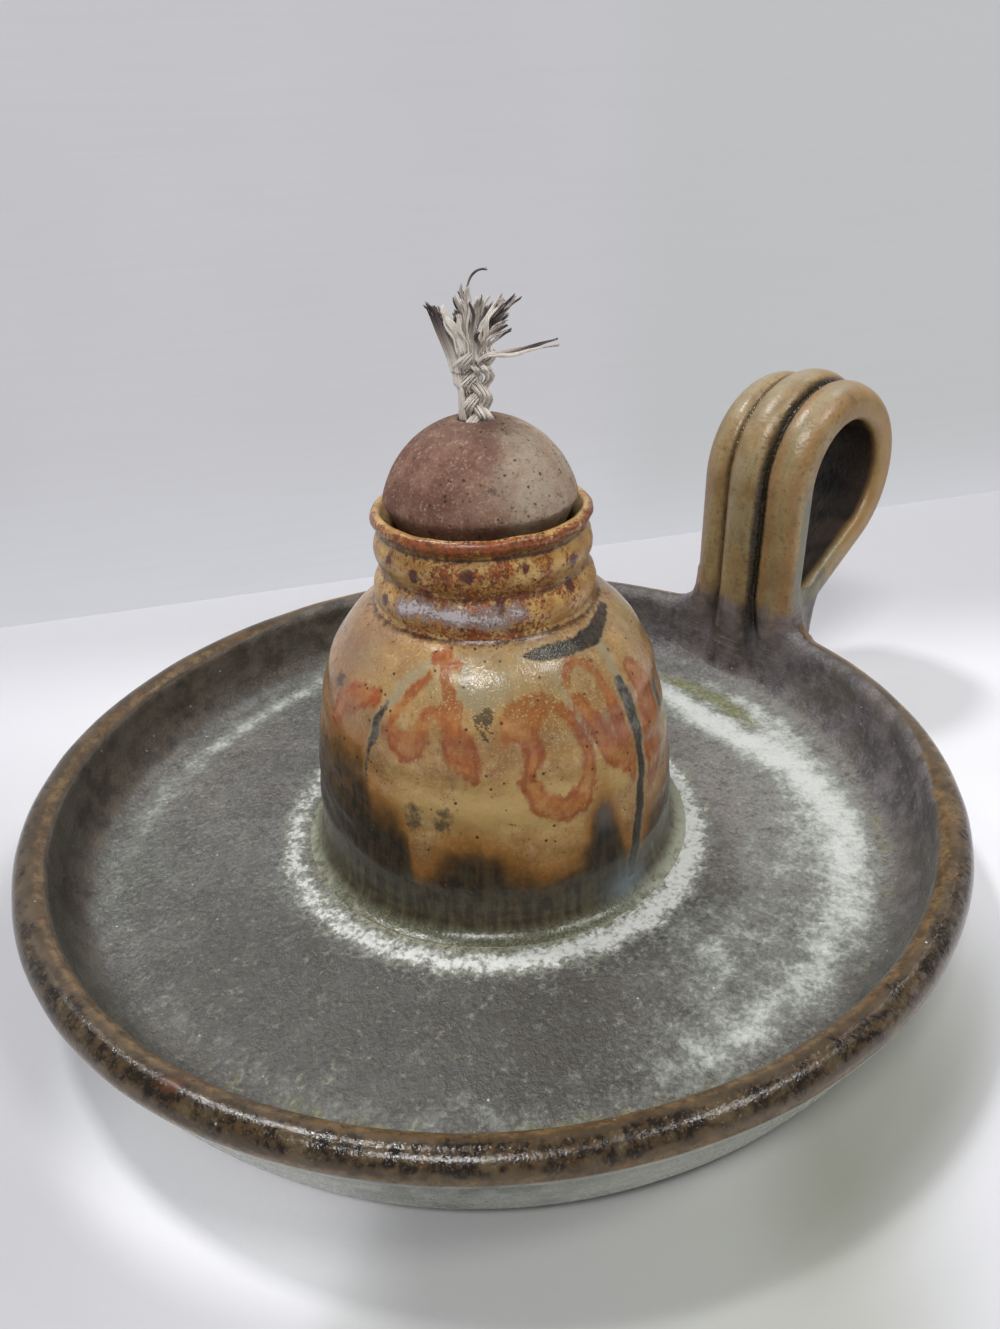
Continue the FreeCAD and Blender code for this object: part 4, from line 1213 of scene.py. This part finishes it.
def stopper_material():
    """Bare clay, flashed brown on one side and grey on the other, the grey side painted paler as painted
    light, with grog and small burnt-out pits.
    """
    p = Paint("stopper_clay", POT_X, POT_Y)
    right = p.plus(p.both(p.x, math.cos(PICTURE_TURN)), p.both(p.y, math.sin(PICTURE_TURN)))
    # Brown to grey across the stopper; the paler right side is partly painted light.
    flash_and_side_light = p.ragged(p.both(right, 1 / 15.75), p.noise(9, 4, 0.55, 81), 1.3)
    flash_and_side_light = p.plus(flash_and_side_light, p.step(p.z, 84, 74), 0.25)
    color = p.blend(flash_and_side_light, -0.05, 0.65, "6e4a3c", "a99985")
    color = p.over(color, p.noise(5, 4, 0.6, 82), 0.42, 0.65, 0.45, "9b7865")
    color = p.over(color, p.z, 79, 83.5, 0.50, "6b574c")
    grit = p.plus(p.both(p.noise(0.45, 4, 0.75, 83), 0.6), p.noise(1.3, 4, 0.7, 84), 0.4)
    color = p.over(color, grit, 0.52, 0.64, 0.50, "bfae9c")
    color = p.over(color, grit, 0.49, 0.36, 0.60, "573f33")
    holes = 0.0
    for size, seed, low, share in ((1.5, 6, 0.55, 0.75), (0.9, 10, 0.66, 0.6), (3.6, 11, 0.66, 0.5)):
        gap, pick = p.cells(size, seed)
        hole = p.area((p.ragged(gap, grit, 0.3), 0.22, 0.10), (pick, low, low + 0.05))
        color = p.tint(color, hole, share, "2f221c")
        holes = p.plus(hole, holes)
    color = p.over(color, p.z, 70.9, 70.2, 0.40, "4b382e")
    relief = p.plus(p.both(grit, 1.4), p.noise(4.5, 2, 0.5, 86), 0.8)
    relief = p.plus(relief, holes, -0.6)
    p.bump(relief, 0.14)
    return p.finish(color, 0.82, 0.35)


# Wick


RIGHT = np.array([math.cos(PICTURE_TURN), math.sin(PICTURE_TURN), 0.0])    # to the picture's right
AWAY = np.array([-math.sin(PICTURE_TURN), math.cos(PICTURE_TURN), 0.0])    # away from the camera
UP = np.array([0.0, 0.0, 1.0])


def tubes(paths, radii, sides, ends=0.35):
    """Many thin tubes in one mesh. Each path is an array of points and each radius thins towards the ends."""
    points, faces, marks = [], [], []
    start = 0
    ring = np.arange(sides) * TURN / sides
    for path, radius in zip(paths, radii):
        way = np.gradient(path, axis=0)
        way /= np.linalg.norm(way, axis=1)[:, None]
        side = np.cross(way, AWAY + 0.3 * RIGHT)
        side /= np.linalg.norm(side, axis=1)[:, None]
        other = np.cross(way, side)
        share = np.linspace(0, 1, len(path))
        thin = radius * (1 - (1 - ends) * smooth(share, 0.75, 1.0))
        round_it = np.multiply.outer(side, np.cos(ring)) + np.multiply.outer(other, np.sin(ring))
        rows = path[:, None, :] + thin[:, None, None] * round_it.transpose(0, 2, 1)
        points.append(rows.reshape(-1, 3))
        for i in range(len(path) - 1):
            a, b = start + i * sides, start + (i + 1) * sides
            for j in range(sides):
                k = (j + 1) % sides
                faces.append([a + j, a + k, b + k, b + j])
        faces.append([start + j for j in range(sides)][::-1])
        faces.append([start + (len(path) - 1) * sides + j for j in range(sides)])
        marks.append(np.repeat(share, sides))
        start += len(path) * sides
    return np.vstack(points), faces, np.concatenate(marks)


PLAIT_PITCH = 10.0
PLAIT_STEP = 0.42
GOLDEN_ANGLE = 2.399963   # spreads the fibres evenly over a yarn's section
PLAIT_WIDE, PLAIT_DEEP = 1.55, 0.72
YARN_WIDE, YARN_DEEP = 1.05, 0.85
FIBRES = 16


def plait(route, rng, start_turn=0.0, low=0.92, high=0.92):
    """Three yarns plaited along a route, each a bundle of fibres, low and high times as wide at its two ends.
    Returns the fibres' paths, their radii and the yarn that each belongs to."""
    route = np.asarray(route)
    run = np.concatenate([[0], np.cumsum(np.linalg.norm(np.diff(route, axis=0), axis=1))])
    stations = np.append(np.arange(0, run[-1], PLAIT_STEP), run[-1])
    spine = np.stack([np.interp(stations, run, route[:, k]) for k in range(3)], -1)
    grow = low + (high - low) * smooth(run[-1] - stations, 8.6, 2.0)
    paths, radii, owners = [], [], []
    for yarn in range(3):
        turn = TURN * (stations / PLAIT_PITCH + start_turn + yarn / 3)
        centre = (spine + (grow * PLAIT_WIDE * np.sin(turn))[:, None] * RIGHT
                  + (grow * PLAIT_DEEP * np.sin(2 * turn))[:, None] * AWAY)
        for fibre in range(FIBRES):
            level = math.sqrt((fibre + 0.5) / FIBRES)
            twist = fibre * GOLDEN_ANGLE + rng.uniform(-0.2, 0.2) + stations * 0.30
            aside = np.multiply.outer(grow * level * YARN_WIDE * np.cos(twist), RIGHT)
            paths.append(centre + aside + np.multiply.outer(grow * level * YARN_DEEP * np.sin(twist), AWAY))
            radii.append(rng.uniform(0.20, 0.28))
            owners.append(yarn)
    return paths, radii, owners


def yarn_material(name, singed):
    p = Paint(name, POT_X, POT_Y)
    share = p.mark("share")
    color = p.mix(p.mark("tint"), "faf5ec", "d3c7ba")
    color = p.over(color, p.noise(0.5, 3, 0.7, 91), 0.50, 0.72, 0.3, "a89b8c")
    if singed:
        soot = p.ragged(share, p.mark("soot"), 1.1)
        color = p.over(color, soot, 0.40, 0.95, 0.65, "8c766d")
        color = p.over(color, soot, 0.78, 1.20, 0.90, "352826")
    p.bump(p.noise(0.25, 3, 0.7, 92), 0.05)
    p.shader.inputs["Sheen Weight"].default_value = 0.25
    return p.finish(color, 0.75, 0.3)


def yarn_piece(name, paths, radii, owners, sides, material, slot, rng, clean=0):
    """The first clean paths keep their yarn's own colour; the others are singed towards their tips."""
    points, faces, share = tubes(paths, radii, sides)
    counts = [len(path) * sides for path in paths]
    soots = rng.uniform(0, 1, max(owners) + 1)
    soots[-1] = 0.95   # the last yarn is singed the most
    tint = np.concatenate([np.full(count, rng.uniform(0, 1)) for count in counts])
    soot = np.concatenate([np.full(count, soots[owner]) for count, owner in zip(counts, owners)])
    share[:sum(counts[:clean])] = 0
    soot[:sum(counts[:clean])] = 0.2
    return mesh_object(name, points, faces, material, "wick",
                       {"share": share, "tint": tint, "soot": soot})


# A bundle that comes loose from the plait's left yarn low down. Like all places of the tuft, it is given
# to the right, away and up from the plait's top.
SIDE_BUNDLE = ((-1.9, -0.6, -10.2), (-2.0, -0.9, -8.0), (-2.2, -1.1, -5.0), (-2.6, -1.0, -2.0),
               (-3.6, -0.9, 1.6), (-5.5, -0.7, 6.6))
SIDE_STRANDS = 20
# Strands inside the plait
CORE = ((0.0, 0.0, -10.2), (0.3, 0.1, -7.0), (-0.2, 0.0, -4.0), (0.2, 0.1, 0.0), (0.0, 0.0, 2.0))
CORE_STRANDS = 10


BORE_ROOM = 2.55    # from the axis, with a little left of the bore's radius
WICK_DOWN = 4.3     # a little more than the wick can be pushed down


def slimmed(path):
    """The path kept close to the axis as far up as the wick can be pushed down into the bore."""
    axis = np.array([POT_X, POT_Y])
    out = path[:, :2] - axis
    room = BORE_ROOM + np.maximum(0, path[:, 2] - STOPPER_TOP - WICK_DOWN)
    share = np.minimum(1, room / np.maximum(np.hypot(*out.T), 1e-6))
    return np.column_stack([axis + out * share[:, None], path[:, 2]])


def whole_plait():
    """The plait from the stopper's bore to where it frays, cut in two at the top of its own node."""
    rng = np.random.default_rng(61)
    route = [(POT_X, POT_Y, z) for z in np.linspace(SPIGOT_BOTTOM, PLAIT_TOP, 50)]
    paths, radii, owners = plait(route, rng, 0.02, 1.0, 1.38)
    for stops, strands, spread in ((CORE, CORE_STRANDS, 0.45), (SIDE_BUNDLE, SIDE_STRANDS, 0.28)):
        for _ in range(strands):
            jitter = rng.normal(0, spread, 3) * (1, 1, 0.3)
            moved = np.array(stops) + jitter * np.linspace(0.7, 1.4, len(stops))[:, None]
            paths.append(smooth_route("side_route", on_crown(moved)))
            radii.append(rng.uniform(0.19, 0.27))
            owners.append(3)
    paths = [slimmed(path) for path in paths]
    cut = [int(np.searchsorted(path[:, 2], BRAID_TOP)) for path in paths]
    lower = [path[:i + 1] for path, i in zip(paths, cut)]
    upper = [path[i:] for path, i in zip(paths, cut)]
    return (lower, radii, owners), (upper, radii, owners)


def make_braid():
    rng = np.random.default_rng(62)
    material = yarn_material("wick_yarn", False)
    piece = yarn_piece("wick_plait", *whole_plait()[0], 6, material, "wick_yarn", rng)
    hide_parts("wick_braid")
    return piece


def smooth_route(name, stops):
    """Points of a smooth spline whose control points are the stops, in millimetres."""
    curve = bpy.data.curves.new(name, "CURVE")
    curve.dimensions = "3D"
    spline = curve.splines.new("NURBS")
    spline.points.add(len(stops) - 1)
    for point, stop in zip(spline.points, stops):
        point.co = (*[c * MM for c in stop], 1.0)
    spline.order_u = 3
    spline.use_endpoint_u = True
    curve.resolution_u = 12
    holder = bpy.data.objects.new(name, curve)
    bpy.context.scene.collection.objects.link(holder)
    bpy.context.view_layer.update()
    mesh = bpy.data.meshes.new_from_object(holder.evaluated_get(bpy.context.evaluated_depsgraph_get()))
    points = np.array([v.co for v in mesh.vertices]) / MM
    bpy.data.meshes.remove(mesh)
    bpy.data.objects.remove(holder)
    bpy.data.curves.remove(curve)
    return points


def make_tail():
    """The wick's tail hangs in the oil, from the stopper's underside almost to the reservoir's floor."""
    rng = np.random.default_rng(62)
    bend = ((0, 0, SPIGOT_BOTTOM), (0, 0, 50), (0.5, 0.2, 42), (1.1, 0.3, 33), (0.4, -0.2, 24),
            (0.2, 0, TAIL_END))
    stops = [(POT_X + x, POT_Y + y, z) for x, y, z in bend]
    route = smooth_route("tail_route", stops)
    paths, radii, owners = plait(route, rng, 0.4)
    material = bpy.data.materials["wick_yarn"]
    piece = yarn_piece("wick_tail_plait", paths, radii, owners, 6, material, "wick_yarn", rng)
    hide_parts("wick_tail")
    return piece


# Yarn ends of the tuft: how many, their root, their tip, how much the tips differ, and how far they sway
# to the left on the way
TUFT = (
    (4, (-2.6, -0.2, -1.2), (-6.2, -0.6, 7.2), 0.45, -0.2),
    (3, (-2.4, 0.5, -0.8), (-5.0, 1.2, 6.0), 0.45, -0.2),
    (7, (-1.4, -0.8, -0.8), (-4.0, -0.8, 6.2), 0.5, -0.2),
    (6, (-0.9, -0.6, -0.6), (-2.4, -0.8, 6.6), 0.5, 0.0),
    (6, (-0.4, 0.4, -0.6), (-1.2, 0.8, 8.8), 0.6, 0.2),
    (6, (0.2, -0.5, -0.6), (0.8, -0.8, 8.6), 0.7, 0.3),
    (6, (0.7, 0.3, -0.6), (2.6, 0.6, 7.8), 0.6, 0.5),
    (7, (1.0, -0.6, -0.6), (4.6, -0.6, 7.2), 0.7, 0.9),
    (5, (1.4, 0.3, -0.6), (6.6, 0.6, 6.4), 0.6, 1.0),
    (6, (1.4, -0.8, -0.6), (5.4, -1.4, 3.6), 0.5, 1.0),
    (4, (1.0, 0.8, -0.6), (3.6, 3.0, 5.6), 0.8, 0.5),
    (4, (-0.8, 1.0, -0.6), (-2.0, 3.6, 5.8), 0.8, 0.0),
    (3, (0.4, -1.2, -0.6), (1.6, -3.0, 4.6), 0.8, 0.3),
)
STRAY = ((0.6, -1.7, -1.6), (1.4, -2.0, -0.4), (3.4, -1.9, -0.5), (6.0, -1.7, -0.7), (9.0, -1.5, 0.1),
         (12.8, -1.3, 0.4))
STRAY_ABOVE = ((1.0, -1.3, -1.0), (2.2, -1.6, -0.2), (4.8, -1.5, -0.2), (8.0, -1.3, 0.2), (10.6, -1.2, 0.8),
               (12.6, -1.1, 1.3))
CURL = ((-0.4, 0.2, 2.0), (-0.8, 0.2, 5.4), (-0.6, 0.1, 8.4), (0.2, 0.0, 10.4), (1.5, -0.1, 11.3),
        (2.6, -0.1, 11.2))


def on_crown(stops):
    """Points given to the right, away and up from the plait's top."""
    return np.array([POT_X, POT_Y, PLAIT_TOP]) + np.asarray(stops) @ np.stack([RIGHT, AWAY, UP])


def curl(root, tip, sway, rng, count=16):
    """A yarn end that keeps the crimp of the plait: it leaves going up, then leans to its tip."""
    t = np.linspace(0, 1, count)[:, None]
    middle = root + (tip - root) * np.array([0.30, 0.35, 0.60]) - np.array([sway, 0, 0])
    line = (1 - t) ** 2 * root + 2 * t * (1 - t) * middle + t ** 2 * tip
    phase = rng.uniform(0, TURN)
    crimp = 0.28 * np.sin(t * 9.0 + phase) * smooth(t, 0.1, 0.4)
    wave = 0.18 * np.cos(t * 7.0 + phase)
    return line + crimp * np.array([1.0, 0.0, 0.15]) + wave * np.array([0.0, 1.0, 0.0])


def make_tuft():
    rng = np.random.default_rng(63)
    paths, radii, owners = (list(part) for part in whole_plait()[1])
    yarn = 4
    for count, root, tip, spread, sway in TUFT:
        for _ in range(count):
            start = np.array(root) + rng.normal(0, 0.38, 3)
            end = start + (np.array(tip) - root) * rng.uniform(0.80, 1.03)
            end = end + rng.normal(0, spread, 3) * (0.8, 0.8, 0.6)
            line = curl(start, end, sway + rng.normal(0, 0.25), rng)
            share = np.linspace(0, 1, len(line))[:, None]
            for _ in range(7):
                fray = rng.normal(0, 0.20, 3) * (1 - 0.7 * share) + rng.normal(0, 0.12, 3) * share ** 2
                paths.append(on_crown(line + fray))
                radii.append(rng.uniform(0.11, 0.16))
                owners.append(yarn)
            yarn += 1
    for stops, strands in ((STRAY, 6), (STRAY_ABOVE, 4), (CURL, 4)):
        for strand in range(strands):
            twist = strand * TURN / strands + np.linspace(0, 7, len(stops))
            wave = 0.17 * (np.cos(twist)[:, None] * (0, 0, 1) + np.sin(twist)[:, None] * (0, 1, 0))
            moved = np.array(stops) + wave + rng.normal(0, 0.05, 3)
            paths.append(smooth_route("loose_route", on_crown(moved)))
            radii.append(0.14)
            owners.append(yarn)
        yarn += 1
    material = yarn_material("wick_yarn_frayed", True)
    piece = yarn_piece("wick_frayed_end", paths, radii, owners, 5, material, "wick_yarn_frayed", rng,
                       len(whole_plait()[1][0]) - SIDE_STRANDS)
    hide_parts("wick_tuft")
    return piece


# Stage, camera and light


def picture_frame(x, y, z):
    """A point of the frame whose x runs to the picture's right, in the CAD frame and in metres."""
    c, s = math.cos(PICTURE_TURN), math.sin(PICTURE_TURN)
    return Vector((x * c - y * s, x * s + y * c, z)) * MM


def make_camera():
    data = bpy.data.cameras.new("camera")
    data.sensor_fit = "VERTICAL"
    data.sensor_height = SENSOR_HEIGHT
    data.lens = FOCAL_LENGTH
    data.clip_start = 0.005
    camera = bpy.data.objects.new("camera", data)
    bpy.context.scene.collection.objects.link(camera)
    forward = np.array([math.sin(CAMERA_YAW) * math.cos(CAMERA_PITCH),
                        math.cos(CAMERA_YAW) * math.cos(CAMERA_PITCH), -math.sin(CAMERA_PITCH)])
    level = np.array([math.cos(CAMERA_YAW), -math.sin(CAMERA_YAW), 0.0])
    upright = np.cross(level, forward)
    right = level * math.cos(CAMERA_ROLL) + upright * math.sin(CAMERA_ROLL)
    up = -level * math.sin(CAMERA_ROLL) + upright * math.cos(CAMERA_ROLL)
    axes = Matrix([right, up, -forward]).transposed().to_4x4()
    place = Matrix.Translation(picture_frame(0, -CAMERA_BACK, CAMERA_HEIGHT))
    camera.matrix_world = place @ Matrix.Rotation(PICTURE_TURN, 4, "Z") @ axes
    bpy.context.scene.camera = camera


def backdrop_tone(p, tone, right):
    """Painted shade behind the fold, lighter near the table, with faint upright streaks."""
    tone = p.blend(p.z, 60, -10, tone, "d2d3d8")
    # Painted shade: darker beyond the fold.
    tone = p.tint(tone, p.mark("fold"), p.step(p.z, -10, 40), "c2c3c4")
    grain = p.noise(1.0, 2, 0.5, 97, p.together(p.both(right, 0.02), 0.0, p.both(p.z, 0.5)))
    tone = p.over(tone, grain, 0.4, 0.7, 0.06, "b4b5b8")
    return tone


def table_tone(p, tone, right, away):
    """Paler towards the back and right, with soft zones where the photo has light and shade."""
    # Painted light: paler towards the back and right.
    tone = p.blend(p.plus(p.both(right, 0.6), away, 0.8), -110, 60, tone, "ececf0")
    # Painted shade: darker far back, towards the backdrop.
    tone = p.over(tone, away, 40, 105, 0.92, "bfbfc3")
    # Painted shade: darker to the near left of the dish.
    tone = p.tint(tone, p.area((right, -35, -65), (away, 20, -25)), 0.5, "b0b0b5")
    # Painted shadow: a dim zone in front of the dish, with a slanting left edge.
    slant = p.plus(right, away, -0.38)
    dim = p.area((slant, 6, 13), (right, 62, 34), (p.both(away, -1), 56, 78))
    tone = p.tint(tone, dim, 0.72, p.blend(right, -10, 40, "a9aaa7", "a4a69a"))
    # Painted shadow: darker close to the dish's near right.
    near = p.area((p.radius, 97, 86), (right, 24, 44), (away, -18, -44), (right, 96, 56))
    tone = p.tint(tone, near, 0.80, "8f9183")
    # Painted light: a paler patch close to the dish's near left.
    left = p.area((p.radius, 94, 84), (right, -10, -30), (away, -24, -48), (right, -72, -50))
    tone = p.tint(tone, left, 0.80, "f4f4f8")
    return tone


def paper_material(name, color, patch, lit):
    """Matt paper. lit is the share of it that shows its own colour to the camera, whatever falls on it."""
    p = Paint(name)
    right = p.plus(p.both(p.x, math.cos(PICTURE_TURN)), p.both(p.y, math.sin(PICTURE_TURN)))
    away = p.plus(p.both(p.y, math.cos(PICTURE_TURN)), p.x, -math.sin(PICTURE_TURN))
    tone = p.blend(p.noise(90, 3, 0.5, 95), 0.3, 0.7, color, patch)
    tone = backdrop_tone(p, tone, right) if lit else table_tone(p, tone, right, away)
    p.bump(p.noise(1.5, 3, 0.6, 96), 0.05)
    p.finish(tone, 0.8, 0.2)
    if lit:
        ray = p.nodes.new("ShaderNodeLightPath").outputs
        seen = p.math("ADD", p.math("ADD", ray["Is Camera Ray"], ray["Is Glossy Ray"]),
                      ray["Is Transmission Ray"], clamp=True)
        glow, blend = p.nodes.new("ShaderNodeEmission"), p.nodes.new("ShaderNodeMixShader")
        p.put(glow.inputs["Color"], tone)
        p.put(blend.inputs[0], p.both(seen, lit))
        p.links.new(p.shader.outputs[0], blend.inputs[1])
        p.links.new(glow.outputs[0], blend.inputs[2])
        clear, shown = p.nodes.new("ShaderNodeBsdfTransparent"), p.nodes.new("ShaderNodeMixShader")
        p.put(shown.inputs[0], p.nodes.new("ShaderNodeNewGeometry").outputs["Backfacing"])
        p.links.new(blend.outputs[0], shown.inputs[1])
        p.links.new(clear.outputs[0], shown.inputs[2])
        p.links.new(shown.outputs[0], p.nodes["Material Output"].inputs["Surface"])
    return p.material


def sheet(name, rows, material, fold=None):
    """A flat or folded board through rows of points."""
    across = len(rows[0])
    mesh = bpy.data.meshes.new(name)
    faces = [(j * across + i, j * across + i + 1, (j + 1) * across + i + 1, (j + 1) * across + i)
             for j in range(len(rows) - 1) for i in range(across - 1)]
    mesh.from_pydata([tuple(c) for row in rows for c in row], [], faces)
    mesh.polygons.foreach_set("use_smooth", np.ones(len(faces), dtype=bool))
    if fold is not None:
        layer = mesh.attributes.new("fold", "FLOAT", "POINT")
        layer.data.foreach_set("value", np.tile(fold, len(rows)).astype(np.float32))
    mesh.materials.append(material)
    mesh.update()
    board = bpy.data.objects.new(name, mesh)
    bpy.context.scene.collection.objects.link(board)
    return board


def make_stage():
    wide = 3000.0
    rows = [[picture_frame(x, y, 0) for x in (-wide, wide)] for y in (-wide, wide)]
    sheet("table", rows, paper_material("table_paper", "c6c6ca", "c2c2c6", 0.0))
    fold_x, fold_y, fold_width = 48.0, 150.7, 14.0
    slope, kink = 0.2115, 0.0015
    places = np.concatenate([[-900], np.linspace(-60, 60, 41) + fold_x, [900]])
    soft = np.sqrt((places - fold_x) ** 2 + fold_width ** 2) - fold_width
    line = fold_y + slope * (places - fold_x) - kink * soft
    rows = [[picture_frame(x, y, z) for x, y in zip(places, line)] for z in (-2, 60, 230)]
    paper = paper_material("backdrop_paper", "c8c8cd", "c4c4c9", 0.85)
    board = sheet("backdrop", rows, paper, smooth(places, fold_x - fold_width, fold_x + 18))
    board.visible_shadow = False


def lamp(name, spot, size, power, color=(1.0, 1.0, 1.0), aim=(0, 0, 25)):
    data = bpy.data.lights.new(name, "AREA")
    data.shape = "RECTANGLE"
    data.size, data.size_y = size
    data.energy = power
    data.color = color
    light = bpy.data.objects.new(name, data)
    bpy.context.scene.collection.objects.link(light)
    light.location = picture_frame(*spot)
    light.rotation_euler = (picture_frame(*aim) - light.location).to_track_quat("-Z", "Y").to_euler()


def make_light():
    world = bpy.data.worlds.new("studio")
    world.use_nodes = True
    back = world.node_tree.nodes["Background"]
    back.inputs["Color"].default_value = (0.95, 0.96, 1.0, 1.0)
    back.inputs["Strength"].default_value = 0.25
    bpy.context.scene.world = world
    lamp("panel_above", (-400, 330, 1180), (0.16, 0.12), 6.2)
    lamp("panel_behind", (-560, 550, 830), (0.30, 0.16), 1.0)
    lamp("panel_front", (-170, -560, 930), (0.34, 0.12), 5.0)
    lamp("spark", (450, 380, 700), (0.05, 0.05), 0.35)
    lamp("panel_right", (450, -230, 820), (0.22, 0.16), 2.1, (1.0, 0.99, 0.96))


make_camera()
make_dish()
make_handle()
make_pot()
make_stopper()
make_braid()
make_tail()
make_tuft()
make_stage()
make_light()

scene = bpy.context.scene
scene.view_settings.view_transform = "Standard"
